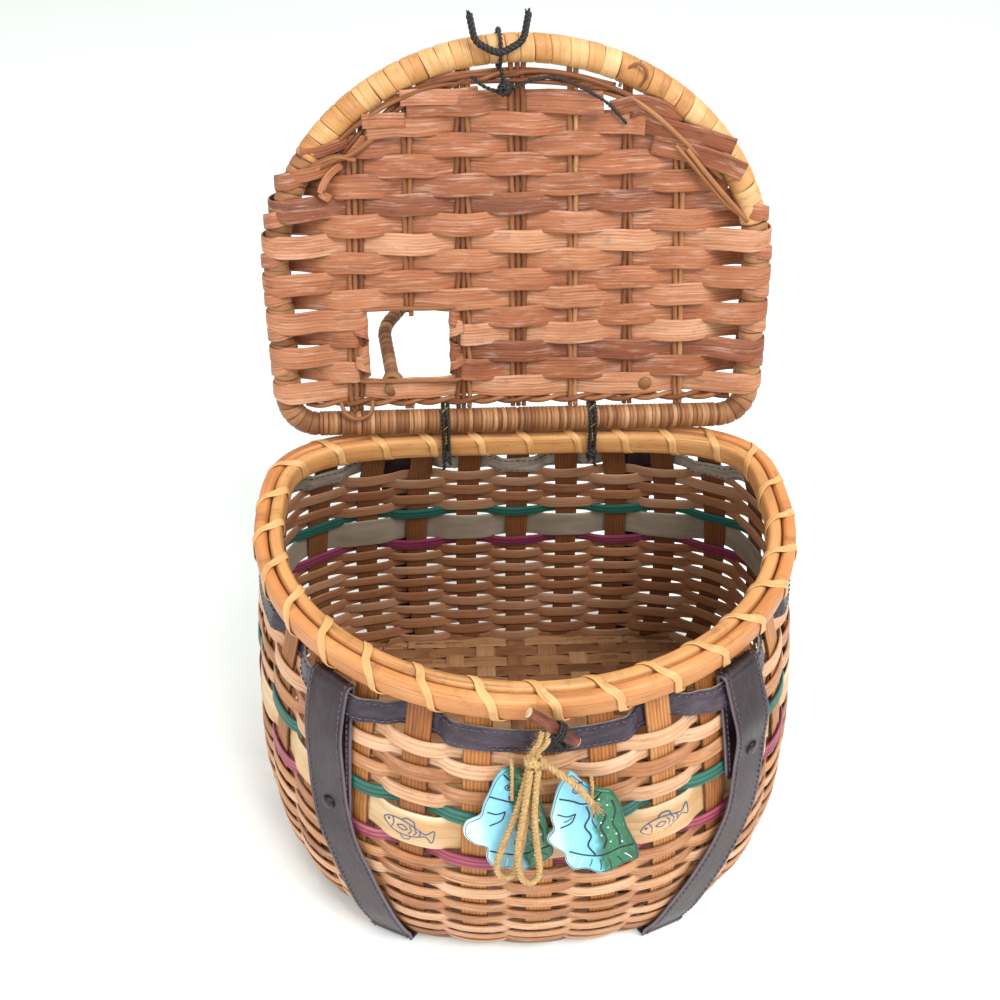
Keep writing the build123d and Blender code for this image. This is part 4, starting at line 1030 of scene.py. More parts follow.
def wound(bag, path, r, wseg, gap, seed, bl=0.12, sh_=0.4):
    """cane wound round a rod: sleeves of a few turns each, a narrow dark gap between them"""
    g = np.random.default_rng(seed)
    path = np.asarray(path, float)
    L = np.concatenate([[0], np.cumsum(np.linalg.norm(np.diff(path, axis=0), axis=1))])
    k = 0.0
    while k < L[-1] - 2:
        w = wseg * g.uniform(0.82, 1.2)
        e = min(k + w, L[-1])
        ns = max(5, int((e - k) / 0.45))
        s = np.linspace(k + gap / 2, e - gap / 2, ns)
        C = np.stack([np.interp(s, L, path[:, i]) for i in range(3)], 1)
        t = np.linspace(0, 1, ns)
        lines = max(2, int(round((e - k) / 2.1)))
        bulge = bl * np.abs(np.sin(pi * t * lines)) ** 0.7
        shoulder = -sh_ * (np.exp(-t * ns / 1.2) + np.exp(-(1 - t) * ns / 1.2))
        rr = r + bulge + shoulder
        T, A, Bn = frames_from(C)
        m = 30
        th = 2 * pi * np.arange(m) / m
        slant = 1.1 * g.uniform(0.5, 1.4)
        sh = slant * np.sin(th + g.uniform(0, 6.28) * 0 + 0.6)
        V = (C[:, None, :] + A[:, None, :] * (rr[:, None] * np.cos(th)[None, :])[..., None]
             + Bn[:, None, :] * (rr[:, None] * np.sin(th)[None, :])[..., None] + T[:, None, :] * sh[None, :, None])
        # fibres of the cane run round the rod, so 'along' follows the angle
        st = np.stack([np.broadcast_to(th[None, :] * r, (ns, m)) + slant * 3, np.broadcast_to((s - k)[:, None] * 1.0, (ns, m)), np.full((ns, m), g.random())], -1)
        Q = grid_faces(ns, m, False)
        Q = np.vstack([Q, cap_faces(m, 0, False), cap_faces(m, (ns - 1) * m, True)])
        V = V.reshape(-1, 3)
        if signed_volume(V - V.mean(0), Q) < 0:
            Q = Q[:, ::-1]
        bag.add(V, Q=Q, st=st, sd=np.zeros(len(V)))
        k = e


def border_part(x_from, x_to):
    i0, i1 = np.searchsorted(BLS, x_from), np.searchsorted(BLS, x_to)
    P = BL[i0:i1]
    return lid(np.column_stack([P, np.zeros(len(P))]))


TOT = BLS[-1]


def s_at(px, ps):
    """length along the border line nearest to the lid point"""
    return BLS[int(np.argmin(np.hypot(BL[:, 0] - px, BL[:, 1] - ps)))]


# golden cane on the arch, browner winding at the right shoulder and on the hinge rod
a_r, a_l = s_at(124, 110), s_at(-110, 147)
a_rb = s_at(131, 78)
b_w1 = Bag()
wound(b_w1, border_part(a_r, a_l), 7.15, 8.6, 0.2, 601, bl=0.07, sh_=0.3)
b_w1.build("lid_arch_cane", "lid", wrap_m)
b_w2 = Bag()
wound(b_w2, border_part(a_rb, a_r), 7.0, 4.2, 0.25, 602)
hx = 114.0
wound(b_w2, border_part(0, s_at(hx, 0.2)), 7.1, 2.3, 0.05, 603, bl=0.05, sh_=0.32)
wound(b_w2, border_part(s_at(-hx, 0.2), TOT), 7.1, 2.3, 0.05, 604, bl=0.05, sh_=0.32)
# side rods are bound by the folded ends of the weavers: fine winding under them
wound(b_w2, border_part(s_at(hx, 0.2), a_rb), 6.75, 5.0, 0.2, 605)
wound(b_w2, border_part(a_l, s_at(-hx, 0.2)), 6.75, 5.0, 0.2, 606)
b_w2.build("lid_border_cane", "lid", wrapb_m, ["lid_border_wrap"], "lid_cane")

# columns of round reeds, woven over and under
COLS = [(-92.0, -84.0, 3), (-62.0, -57.0, 2), (-31.0, -28.5, 3), (0.0, 0.0, 3), (31.0, 28.5, 2), (62.0, 57.0, 2), (91.0, 84.0, 2)]
ROW_S0, ROW_P = 20.7, 10.2


def col_x(c, s):
    xb, xt, _ = COLS[c]
    return xb + (xt - xb) * (s - 20.0) / 150.0


HX0, HX1, HS0, HS1 = -87.0, -35.0, 25.8, 66.6
b_co = Bag()
for c, (xb, xt, nr) in enumerate(COLS):
    for q in range(nr):
        g = np.random.default_rng(620 + c * 5 + q)
        w = (q - (nr - 1) / 2) * 3.15
        spans = [(8.0, 1e3)]
        if c == 1:
            spans = [(8.0, HS0 + g.uniform(-4, 3)), (HS1 - g.uniform(-2, 5), 1e3)]
        for s_lo, s_hi in spans:
            # up to the border
            ss = np.arange(s_lo, 200.0, 1.3)
            xx = col_x(c, ss) + w * (0.93 + 0.12 * np.cos(ss * 2 * pi / (2 * ROW_P) + c))
            ok = (ss < s_hi) & (ss < LID_S0 + (LID_LEN - LID_S0) * np.sqrt(np.clip(1 - (xx / LID_HALF) ** 2, 0, 1)) - 4.5)
            ss, xx = ss[ok], xx[ok]
            if len(ss) < 4:
                continue
            par = 1 if c % 2 == 0 else -1
            z = -0.55 * par * np.cos(pi * (ss - ROW_S0) / ROW_P) + g.normal(0, 0.08)
            P = lid(np.column_stack([xx + wob(len(ss), 0.22, 5, 640 + c * 7 + q), ss, z]))
            rr = 1.42 * (1 + wob(len(ss), 0.04, 6, 660 + c * 7 + q))
            tube(b_co, P, rr, 10, rnd=g.random(), ref=ldir((0, 0, 1.0)))
b_co.build("lid_round_reeds", "lid", round_m, ["lid_stakes"], "lid_round_reed")

# flat weavers: each folds round the side rods, or round the columns beside the hole
b_lw = Bag()
RP = reed_profile(28, 0.42, 0.07, 5, 0.2)


def end_turn(xc, sg, R, z0, s0, rise, back, n_=14):
    """points of a reed's end folding round an upright at xc, front or back first"""
    th = np.linspace(0, pi, n_)
    P = np.column_stack([xc + sg * R * np.sin(th), s0 + rise * th / pi, z0 * R * np.cos(th)])
    tail = np.array([[xc - sg * back, s0 + rise * 1.1, -z0 * min(R, 5.0) * 0.75]])
    h = np.concatenate([5.3 - 0.9 * np.sin(th) - 0.9 * th / pi, [3.2]])
    return np.vstack([P, tail]), h


for k in range(16):
    s0 = ROW_S0 + ROW_P * k
    g = np.random.default_rng(700 + k)
    W = float(half_w(s0))
    even = (k % 2 == 0)
    zc = [(1.9 if ((c % 2 == 1) == even) else -1.9) for c in range(7)]
    slope = 1.0
    if s0 > LID_S0:
        gx, gs = W / LID_HALF**2, (s0 - LID_S0) / (LID_LEN - LID_S0) ** 2
        slope = hypot(gx, gs) / gx
    R = 7.55 * min(slope, 1.25)
    left_wrap, right_wrap = s0 < 136, s0 < 116
    hole_row = 1 <= k <= 4
    spans = [("L", "R")]
    if hole_row:
        spans = [("L", "HL"), ("HR", "R")]
    for e0, e1 in spans:
        if e0 == "L":
            x0 = -W if left_wrap else -W + 6.5
        else:
            x0 = HX1 - 0.2
        if e1 == "R":
            x1 = W if right_wrap else W - 6.5
        else:
            x1 = HX0 + 0.2
        if k == 14:
            x0, x1 = -78.0, 66.0
        if k == 15:
            x0, x1 = -57.0, 44.0
        cols_in = [c for c in range(7) if x0 + 3 < col_x(c, s0) < x1 - 3]
        kx = [x0] + [col_x(c, s0) for c in cols_in] + [x1]
        kz = [0.0] + [zc[c] for c in cols_in] + [0.0]
        zl = -np.sign(kz[1]) if cols_in else 1.0
        zr = -np.sign(kz[-2]) if cols_in else 1.0
        Rl = R if e0 == "L" else 2.7
        Rr = R if e1 == "R" else 2.7
        wl = (e0 == "HR") or left_wrap
        wr = (e1 == "HL") or right_wrap
        if k >= 14:
            wl = wr = False
        kz[0] = zl * Rl if wl else (3.6 if k >= 14 else -1.0)
        kz[-1] = zr * Rr if wr else (4.2 if k >= 14 else -1.0)
        nx = max(10, int((x1 - x0) / 1.8))
        x = np.linspace(x0, x1, nx)
        kk = np.clip(np.searchsorted(kx, x, side="right") - 1, 0, len(kx) - 2)
        kxa, kza = np.array(kx), np.array(kz)
        f = np.clip((x - kxa[kk]) / (kxa[kk + 1] - kxa[kk]), 0, 1)
        f = 0.5 - 0.5 * np.cos(pi * np.clip((f - 0.12) / 0.76, 0, 1))
        z = kza[kk] * (1 - f) + kza[kk + 1] * f
        ss = s0 + wob(nx, 0.4, 7, 720 + k) + 0.3 * np.cos(x * pi / 15.0 + k)
        h = 6.0 + 0.15 * np.tanh(z / 1.0)
        P = np.column_stack([x, ss, z])
        if wl:
            Pt, ht_ = end_turn(x0, -1, Rl, zl, ss[0], 5.0 * g.uniform(0.7, 1.1), 7.0 if e0 == "L" else 4.5)
            P = np.vstack([Pt[::-1], P[1:]])
            h = np.concatenate([ht_[::-1], h[1:]])
        if wr:
            Pt, ht_ = end_turn(x1, 1, Rr, zr, ss[-1], 5.0 * g.uniform(0.7, 1.1), 7.0 if e1 == "R" else 4.5)
            P = np.vstack([P[:-1], Pt])
            h = np.concatenate([h[:-1], ht_])
        D = resample(np.hstack([P, h[:, None]]), 1.3)
        D[1:-1] = (D[:-2] + 2 * D[1:-1] + D[2:]) / 4
        P, h = D[:, :3], D[:, 3]
        nn2 = len(P)
        C = lid(P)
        T = unitv(np.gradient(C, axis=0))
        up = ldir(np.tile([0, 1.0, 0], (nn2, 1)))
        nz = ldir(np.tile([0, 0, 1.0], (nn2, 1)))
        tw = -0.08 + wob(nn2, 0.04, 7, 740 + k)      # each row lies over the one below it
        B = unitv(up - T * np.einsum("ij,ij->i", up, T)[:, None] + nz * tw[:, None])
        N = unitv(np.cross(T, B))
        sweep(b_lw, C, B, N, h * (1 + wob(nn2, 0.03, 9, 760 + k)), 0.7, RP, rnd=g.random())


def loose_strip(pts, hw_, rnd, tilt=0.0):
    P = catmull(np.array(pts, float), 10)
    C = lid(P)
    T = unitv(np.gradient(C, axis=0))
    up = ldir(np.tile([0, 1.0, tilt], (len(C), 1)))
    B = unitv(up - T * np.einsum("ij,ij->i", up, T)[:, None])
    sweep(b_lw, C, B, unitv(np.cross(T, B)), hw_, 0.8, RP, rnd=rnd)


# broken weavers at the upper right, cut stubs at the upper left, packed short ones under the arch
loose_strip([(58, 166, 2.0), (76, 160, 4.5), (96, 155, 6.5), (112, 150, 7.6)], 5.6, 0.05, 0.3)
loose_strip([(70, 152, 2.0), (90, 148, 5.0), (106, 143, 7.5), (118, 138, 9.0)], 5.2, 0.3, 0.25)
loose_strip([(48, 170, 2.5), (62, 173, 4.5), (74, 170, 5.5), (84, 163, 4.0)], 4.2, 0.15, 0.2)
loose_strip([(-60, 177, 4.6), (-48, 177.5, 4.4), (-32, 177, 2.0), (-20, 178, -1.0)], 4.0, 0.7)
loose_strip([(-80, 166, 4.8), (-70, 166.5, 4.6), (-58, 166, 2.6)], 3.6, 0.5)
loose_strip([(-52, 184, 0.0), (-25, 187, 1.8), (0, 188, -1.8), (25, 186, 1.8), (50, 180, 0.0)], 2.6, 0.35)
loose_strip([(-112, 150, 6.0), (-100, 152, 6.2), (-88, 156, 3.0)], 3.0, 0.25, 0.3)
loose_strip([(-118, 139, 6.8), (-106, 141, 6.6), (-92, 145, 2.4)], 3.6, 0.45, 0.3)
loose_strip([(-92, 145, 3.2), (-99, 139, 6.0), (-103, 131, 6.2), (-99, 127, 3.0)], 2.2, 0.6, 0.3)
b_lw.build("lid_weavers", "lid", lid_m, ["lid_weave"], "lid_reed")

# round reeds: twining along the foot, loose twining under the arch, edges of the hole, a sprung diagonal end
b_tw = Bag()
nx = 300
x = np.linspace(-121, 121, nx)
for q in (0, 1):
    z = (1 if q == 0 else -1) * 2.55 * np.cos(pi * x / 15.5)
    s = 12.6 + (1 if q == 0 else -1) * 1.2 * np.sin(pi * x / 15.5)
    tube(b_tw, lid(np.column_stack([x, s + wob(nx, 0.15, 6, 800 + q), z])), 1.5, 9, rnd=0.3 + 0.3 * q, ref=ldir((0, 0, 1.0)))
b_tw.build("lid_foot_twining", "lid", round_m, ["lid_twining"], "lid_round_reed")
b_lo2 = Bag()
for q in (0, 1):
    x = np.linspace(-96, 86, 240)
    arch = LID_S0 + (LID_LEN - LID_S0 - 12.5) * np.sqrt(np.clip(1 - (x / (LID_HALF - 12.5)) ** 2, 0, 1))
    z = (1 if q == 0 else -1) * 2.3 * np.cos(pi * x / 14.3)
    s = arch + (1 if q == 0 else -1) * 1.2 * np.sin(pi * x / 14.3) + wob(240, 0.4, 5, 810 + q)
    tube(b_lo2, lid(np.column_stack([x, s, z])), 1.3, 9, rnd=0.25 + 0.4 * q, ref=ldir((0, 0, 1.0)))
# hole edges: two round reeds along the top and bottom, ends tucked behind
for s0, z0 in ((HS1 + 0.4, 1.0), (HS0 - 0.6, 1.0)):
    x = np.linspace(HX0 - 6, HX1 + 6, 60)
    z = 2.3 - 3.8 * np.clip((np.abs(x - (HX0 + HX1) / 2) - 25) / 7, 0, 1)
    tube(b_lo2, lid(np.column_stack([x, s0 + wob(60, 0.3, 4, int(s0)), z])), 1.25, 9, rnd=0.6, ref=ldir((0, 0, 1.0)))
P = catmull(np.array([(58, 176, 4.0), (72, 166, 5.6), (86, 154, 5.8), (98, 143, 4.5), (108, 134, 2.0)], float), 10)
tube(b_lo2, lid(P), 1.35, 9, rnd=0.8)
P = catmull(np.array([(52, 181, 3.0), (55, 189, 6.0), (61, 192, 8.6), (65, 187, 8.4), (62, 181, 5.4)], float), 10)
tube(b_lo2, lid(P), 0.9, 8, rnd=0.5)
P = catmull(np.array([(-101, 14, 4.0), (-98, 8, 7.5), (-91, 5.5, 9.3), (-84, 8.5, 8.0), (-83, 14.5, 4.0)], float), 10)
tube(b_lo2, lid(P), 1.2, 9, rnd=0.4)
# more loose round reeds between the top row and the arch
for q, (pts, r) in enumerate((
        ([(-104, 146, 3.0), (-84, 163, 4.6), (-60, 178, 2.0), (-34, 186, 3.8), (-8, 188, 1.0), (18, 188.5, 3.6), (44, 182, 4.6), (70, 170, 3.4), (92, 152, 4.2)], 1.3),
        ([(-96, 154, 2.0), (-70, 172, 4.8), (-44, 182, 4.0), (-20, 184, 0.5), (8, 184, 3.6), (34, 181, 1.0), (58, 174, 4.0)], 1.2),
        ([(-112, 137, 4.0), (-98, 146, 6.2), (-86, 150, 5.6), (-74, 158, 3.0)], 1.5),
        ([(-108, 144, 5.0), (-95, 149, 7.0), (-84, 147, 5.0)], 1.3),
        ([(88, 150, 6.0), (100, 136, 7.0), (112, 123, 6.2), (123, 112, 5.0)], 1.4),
        ([(82, 152, 5.0), (95, 138, 6.0), (110, 122, 5.0), (121, 114, 4.0)], 1.2),
)):
    tube(b_lo2, lid(catmull(np.array(pts, float), 10)), r, 10, rnd=0.2 + 0.13 * q)
b_lo2.build("lid_loose_reeds", "lid", round_m)

# carrying handle on the outer face: rod wound with fine cane
FOOT_X, FOOT_S = 72.0, 20.4


def fillet_line(pts, radii, step=1.2):
    pts = [np.array(p, float) for p in pts]
    out = [pts[0]]
    for i in range(1, len(pts) - 1):
        a, b, c = pts[i - 1], pts[i], pts[i + 1]
        u1, u2_ = unitv(a - b), unitv(c - b)
        ang = math.acos(max(-1, min(1, float(u1.dot(u2_)))))
        rr = radii[i - 1]
        cut = rr / math.tan(ang / 2)
        p, q = b + u1 * cut, b + u2_ * cut
        cen = b + unitv(u1 + u2_) * (rr / sin(ang / 2))
        e1, e2 = unitv(p - cen), unitv(q - cen)
        w = math.acos(max(-1, min(1, float(e1.dot(e2)))))
        for t in np.linspace(0, 1, max(4, int(w * rr / step))):
            out.append(cen + (e1 * sin((1 - t) * w) + e2 * sin(t * w)) / sin(w) * rr)
    out.append(pts[-1])
    return resample(np.array(out), step)


HT = radians(24.0)


def handle_pt(x, reach):
    q = max(0.0, reach - 14.0)
    return (x, FOOT_S + q * sin(HT), -min(reach, 14.0) - q * cos(HT))


hl = [(-FOOT_X, -2.6), (-FOOT_X, 14.0), (-79.0, 60.0), (-54.0, 104.0), (54.0, 104.0), (79.0, 60.0), (FOOT_X, 14.0), (FOOT_X, -2.6)]
HP = fillet_line([handle_pt(x, r_) for x, r_ in hl], [10, 26, 34, 34, 26, 10])
b_h = Bag()
wound(b_h, lid(HP), 3.95, 4.6, 0.15, 820)
b_h.build("lid_handle_wound", "lid", handle_m, ["lid_handle"], "handle_cane")
b_la = Bag()
for x in (-FOOT_X, FOOT_X):
    a = np.linspace(0, 2 * pi * 3.4, 150)
    z = -5.4 - (a / (2 * pi * 3.4)) * 7.0
    rr = 5.35
    P = np.column_stack([x + rr * np.cos(a), FOOT_S + rr * np.sin(a), z])
    tube(b_la, lid(P), 1.05, 8, rnd=0.4)
b_la.build("handle_lashing_cane", "lid", handle_m, ["handle_lashing"], "handle_cane")

# ------------------------------------------------------------------ cords, ties and toggle
def rope(bag, C, R, pitch, strands=2, rnd=0.0, closed=False, sides=8, ref=None, phase=0.0):
    """laid cord: strands twisted about the line C"""
    C = np.asarray(C, float)
    T, A, Bn = frames_from(C, ref, closed)
    L = np.concatenate([[0], np.cumsum(np.linalg.norm(np.diff(C, axis=0), axis=1))])
    tot = L[-1] + (np.linalg.norm(C[0] - C[-1]) if closed else 0)
    turns = tot / pitch
    if closed:
        turns = max(1, round(turns))
    a = 2 * pi * turns * L / tot
    rs = R * (0.52 if strands == 2 else 0.5)
    for k in range(strands):
        ang = a + 2 * pi * k / strands + phase
        P = C + A * (np.cos(ang) * (R - rs))[:, None] + Bn * (np.sin(ang) * (R - rs))[:, None]
        tube(bag, P, rs, sides, closed=closed, rnd=rnd + 0.31 * k)


TIE_X, TIE_FL = 42.151, 0.518


def tie_line(x):
    hw = 9.05
    z1, z0 = HINGE_Z + LID_ROD + 0.35 + 1.3, RIM_TOP - RIM_H - 0.35 - 1.3
    y = HINGE_Y
    pts = [(x, y, z1), (x, y + hw, z1), (x, y + hw + TIE_FL, z0), (x, y - hw + TIE_FL, z0), (x, y - hw, z1), (x, y, z1)]
    return fillet_line(pts, [8.8, 1.6, 1.6, 8.8], 0.7)[:-1]


b_ti, b_go = Bag(), Bag()
for sx in (-1, 1):
    for dx in (-1.38, 1.38):
        P = tie_line(sx * TIE_X + dx)
        rope(b_ti, P, 1.3, 5.0, 2, closed=True, ref=(1.0, 0, 0), phase=dx)
    P = tie_line(sx * TIE_X)
    T_, A_, B_ = frames_from(P, (1.0, 0, 0), True)
    aa = np.linspace(0, 2 * pi * 9, len(P), endpoint=False)
    G = P + A_ * (1.9 * np.cos(aa))[:, None] + B_ * (0.95 * np.sin(aa))[:, None]
    tube(b_go, G, 0.24, 5, closed=True)
b_ti.build("hinge_tie_cord", "basket", black_m, ["hinge_ties"], "black_cord")
b_go.build("hinge_tie_gold_thread", "basket", gold_m)


def knot_balls(bag, c, r, rt, seed, loops=3, roper=None):
    g = np.random.default_rng(seed)
    for k in range(loops):
        ax = unitv(g.normal(size=3))
        t = np.linspace(0, 2 * pi, 36, endpoint=False)
        e1 = unitv(np.cross(ax, [0.3, 0.2, 1.0]))
        e2 = np.cross(ax, e1)
        P = np.array(c) + (np.cos(t)[:, None] * e1 + np.sin(t)[:, None] * e2) * (r - rt) + g.normal(0, 0.12, 3)
        rope(bag, P, rt, 4.5, 2, closed=True)


b_tk = Bag()
for sx in (-1, 1):
    c = np.array([sx * TIE_X, 98 - 1.5 - 6 - 0.25 - 2.6 - 2.9, 183.5])
    knot_balls(b_tk, c, 2.9, 1.25, 900 + sx)
    P = catmull(c + np.array([(0, 0, 0), (1.6 * sx, -1.5, -3.2), (1.0 * sx, -2.0, -6.4), (2.4 * sx, -1.4, -9.0)], float), 8)
    rope(b_tk, P, 0.95, 4.0, 2)
    P = catmull(c + np.array([(0, 0, 0), (-1.4 * sx, -1.8, -2.6), (-2.4 * sx, -1.7, -5.4)], float), 8)
    rope(b_tk, P, 0.95, 4.0, 2)
b_tk.build("hinge_tie_knot_cord", "basket", black_m, ["hinge_tie_knots"], "black_cord")

# latch loop: strand round the border and a U of cord lying on it
b_ll = Bag()
LX = -9.5
t = np.linspace(0, 2 * pi, 60, endpoint=False)
P = lid(np.column_stack([LX + 0.9 * np.sin(t), 199.7 + 9.1 * np.cos(t), 9.1 * np.sin(t)]))
rope(b_ll, P, 1.25, 5.0, 2, closed=True)
P = fillet_line([lid(np.array(q, float)) for q in ((-24.0, 216.0, 10.6), (-21.5, 203.5, 10.6), (-9.5, 197.4, 10.6), (2.6, 203.5, 10.6), (5.2, 216.5, 10.6))],
                [7.5, 9.0, 7.5], 0.7)
rope(b_ll, P, 1.9, 7.0, 3)
for e in (0, -1):
    d_ = unitv(P[e] - P[1 if e == 0 else -2])
    for q in range(7):
        g = np.random.default_rng(930 + q + 10 * e)
        v = unitv(d_ + g.normal(0, 0.35, 3))
        o = P[e] + g.normal(0, 0.5, 3)
        tube(b_ll, np.array([o - d_ * 0.5, o + v * 0.9, o + v * 1.7]), [0.5, 0.4, 0.2], 5)
b_ll.build("latch_cord", "latch", black_m, ["latch_loop"], "black_cord")
b_lk = Bag()
kc = lid(np.array([-6.5, 181.0, 7.4]))
knot_balls(b_lk, kc, 4.2, 1.6, 941, 4)
P = lid(catmull(np.array([(-8.6, 190.5, 9.0), (-8.0, 187, 8.8), (-7.0, 183.5, 8.5)], float), 8))
rope(b_lk, P, 1.2, 5.0, 2)
P = lid(catmull(np.array([(-3, 181.0, 6.4), (8, 185, 5.2), (20, 185.5, 4.6), (34, 180, 4.4), (46, 173, 4.3), (56, 163, 4.5)], float), 8))
rope(b_lk, P, 1.1, 5.0, 2)
P = lid(catmull(np.array([(-10, 179.5, 6.6), (-17, 182, 5.0), (-24, 187, 3.4)], float), 8))
rope(b_lk, P, 1.1, 5.0, 2)
b_lk.build("latch_knot_cord", "lid", black_m, ["latch_knot"], "black_cord")

# toggle: short barked stick with pale cut ends, on a thin dark cord
sa, sb = np.array([-6.0, -111.5, 191.0]), np.array([15.8, -114.6, 172.7])
sdv = unitv(sb - sa)
slen = float(np.linalg.norm(sb - sa))
b_sk = Bag()
s = np.linspace(0, slen, 60)
C = sa + sdv * s[:, None] + np.array([0, 0, 1.0]) * (0.22 * np.sin(s * 0.21))[:, None]
r_ = 2.82 * (1 + wob(60, 0.035, 8, 950)) * (1 - 0.06 * s / slen)
r_[0] *= 0.93
r_[-1] *= 0.9
g = np.random.default_rng(952)
fib = g.normal(0, 0.05, 26)


def bark(n_, m_, th_):
    return 0.10 * np.sin(5 * th_)[None, :] * np.ones((n_, 1)) * 0.5 + fib[None, :m_] * 1.0


tube(b_sk, C, r_, 26, rnd=0.5, ridge=bark)
b_sk.build("toggle_stick_bark", "toggle", wood_m, ["toggle_stick"], "toggle_wood")
b_se = Bag()
for e, dd in ((sa, -sdv), (sb, sdv)):
    th = 2 * pi * np.arange(24) / 24
    e1 = unitv(np.cross(dd, [0, 0, 1.0]))
    e2 = np.cross(dd, e1)
    rings = []
    for rr, h in ((2.5, -0.6), (2.55, 0.06), (2.2, 0.12), (1.3, 0.16), (0.5, 0.17)):
        rings.append(e + dd * h + (np.cos(th)[:, None] * e1 + np.sin(th)[:, None] * e2) * rr)
    V = np.vstack(rings)
    Q = grid_faces(5, 24, False)
    Q = np.vstack([Q, cap_faces(24, 0, False), cap_faces(24, 96, True)])
    if signed_volume(V - V.mean(0), Q) < 0:
        Q = Q[:, ::-1]
    b_se.add(V, Q=Q)
b_se.build("toggle_stick_ends", "toggle", woodend_m)
b_tt = Bag()
P = fillet_line([(10.5, -99.0, 166.5), (10.5, -114.8, 166.5), (4.4, -114.6, 176.9)], [3.0], 0.6)
rope(b_tt, P, 1.3, 4.5, 2)
knot_balls(b_tt, (10.5, -100.2, 166.5), 2.2, 0.95, 960, 3)
mid = sa + sdv * slen * 0.6
e1 = unitv(np.cross(sdv, [0, 0, 1.0]))
e2 = np.cross(sdv, e1)
a = np.linspace(0, 2 * pi * 3.0, 110)
P = mid + sdv * (np.linspace(-1, 1, 110) * 2.3)[:, None] + (np.cos(a)[:, None] * e1 + np.sin(a)[:, None] * e2) * 3.95
rope(b_tt, P, 0.85, 3.6, 2)
b_tt.build("toggle_cord", "toggle", black_m, ["toggle_tie"], "black_cord")


# ------------------------------------------------------------------ jute twine, three free ends of one knot
def route(name, pts):
    cu = bpy.data.curves.new(name, "CURVE")
    cu.dimensions = "3D"
    cu.resolution_u = 20
    sp = cu.splines.new("NURBS")
    sp.points.add(len(pts) - 1)
    for k, p in enumerate(pts):
        sp.points[k].co = (p[0], p[1], p[2], 1.0)
    sp.order_u = 3
    sp.use_endpoint_u = True
    ob = bpy.data.objects.new(name, cu)
    me = bpy.data.meshes.new_from_object(ob)
    co = np.array([v.co[:] for v in me.vertices])
    bpy.data.meshes.remove(me)
    bpy.data.objects.remove(ob)
    bpy.data.curves.remove(cu)
    return co


def fuzz(bag, C, R, count, seed, ln=(1.2, 3.2)):
    """short loose fibres standing off the twine"""
    g = np.random.default_rng(seed)
    T = unitv(np.gradient(C, axis=0))
    for _ in range(count):
        k = int(g.integers(1, len(C) - 1))
        v = g.normal(size=3)
        v = unitv(v - T[k] * v.dot(T[k]))
        o = C[k] + v * R * 0.8
        d_ = unitv(v * g.uniform(0.3, 1.0) + T[k] * g.uniform(-1, 1))
        l = g.uniform(*ln)
        w = g.normal(0, 0.25, 3)
        P = np.array([o, o + d_ * l * 0.5 + w * 0.3, o + d_ * l + w + np.array([0, 0, -0.15 * l])])
        tube(bag, P, [0.07, 0.06, 0.03], 3)


TW_LEFT = [(-0.0056, -0.1176, 0.1618), (-0.011, -0.1265, 0.14), (-0.0184, -0.131, 0.119), (-0.0216, -0.1336, 0.1064),
           (-0.0206, -0.1347, 0.0996), (-0.0166, -0.135, 0.097), (-0.0128, -0.1348, 0.1006), (-0.0118, -0.1336, 0.1074),
           (-0.0092, -0.1306, 0.12), (-0.0066, -0.1264, 0.141), (-0.002, -0.1176, 0.1616)]
TW_RIGHT = [(-0.0056, -0.1212, 0.1622), (-0.0084, -0.1299, 0.143), (-0.012, -0.1344, 0.121), (-0.011, -0.1372, 0.107),
            (-0.0094, -0.1379, 0.0996), (-0.0056, -0.138, 0.0966), (-0.0018, -0.1374, 0.0998), (-0.001, -0.136, 0.1074),
            (-0.0026, -0.1332, 0.121), (-0.0044, -0.1293, 0.143), (-0.002, -0.1212, 0.1622)]
TW_TAIL = [(-0.0006, -0.1174, 0.1654), (0.006, -0.1224, 0.162), (0.0145, -0.1264, 0.1584), (0.0225, -0.1294, 0.147)]
for nm, pts, far in (("twine_loop_left", TW_LEFT, "object"), ("twine_loop_right", TW_RIGHT, "object"), ("twine_tail", TW_TAIL, "bare")):
    co = route(nm + "_route", pts)
    Cmm = resample(co * 1000, 0.55)
    bg = Bag()
    rope(bg, Cmm, 1.7, 6.5, 3, rnd=0.1, sides=9)
    ob = bg.build(nm + "_strands", "basket", jute_m, [nm], "jute")
    bf = Bag()
    fuzz(bf, Cmm, 1.7, 420 if nm != "twine_tail" else 130, 970 + len(nm), (1.4, 4.4))
    if nm == "twine_tail":
        g = np.random.default_rng(975)
        d0 = unitv(Cmm[-1] - Cmm[-4])
        for q in range(46):
            v = unitv(d0 + g.normal(0, 0.22, 3))
            o = Cmm[-1] - d0 * 1.5 + g.normal(0, 0.5, 3)
            l = g.uniform(4.0, 9.5)
            P = np.array([o, o + v * l * 0.5, o + v * l + g.normal(0, 0.5, 3) + np.array([0, -0.3, -0.8])])
            tube(bf, catmull(P, 3), 0.13, 4)
    fo = bf.build(nm + "_fibres", "basket", jute_m)
b_kn = Bag()
KN = np.array([-3.8, -117.4, 164.2])
for ax, sd_ in (((0.2, -1.0, 0.25), 1), ((1.0, 0.15, 0.2), 2), ((0.25, 0.3, 1.0), 3), ((0.8, -0.6, -0.3), 4)):
    ax = unitv(np.array(ax))
    e1 = unitv(np.cross(ax, [0.1, 0.9, 0.3]))
    e2 = np.cross(ax, e1)
    t = np.linspace(0, 2 * pi, 48, endpoint=False)
    P = KN + (np.cos(t)[:, None] * e1 * 1.1 + np.sin(t)[:, None] * e2) * 3.0
    rope(b_kn, P, 1.65, 6.0, 3, closed=True)
b_ks = Bag()                                     # the two stems from the knot up to the toggle, which turns
P = catmull(KN + np.array([(-0.5, 0.5, 1.0), (2.0, 0.3, 6.5), (5.8, 0.8, 12.2), (6.7, 3.8, 16.9)], float), 10)
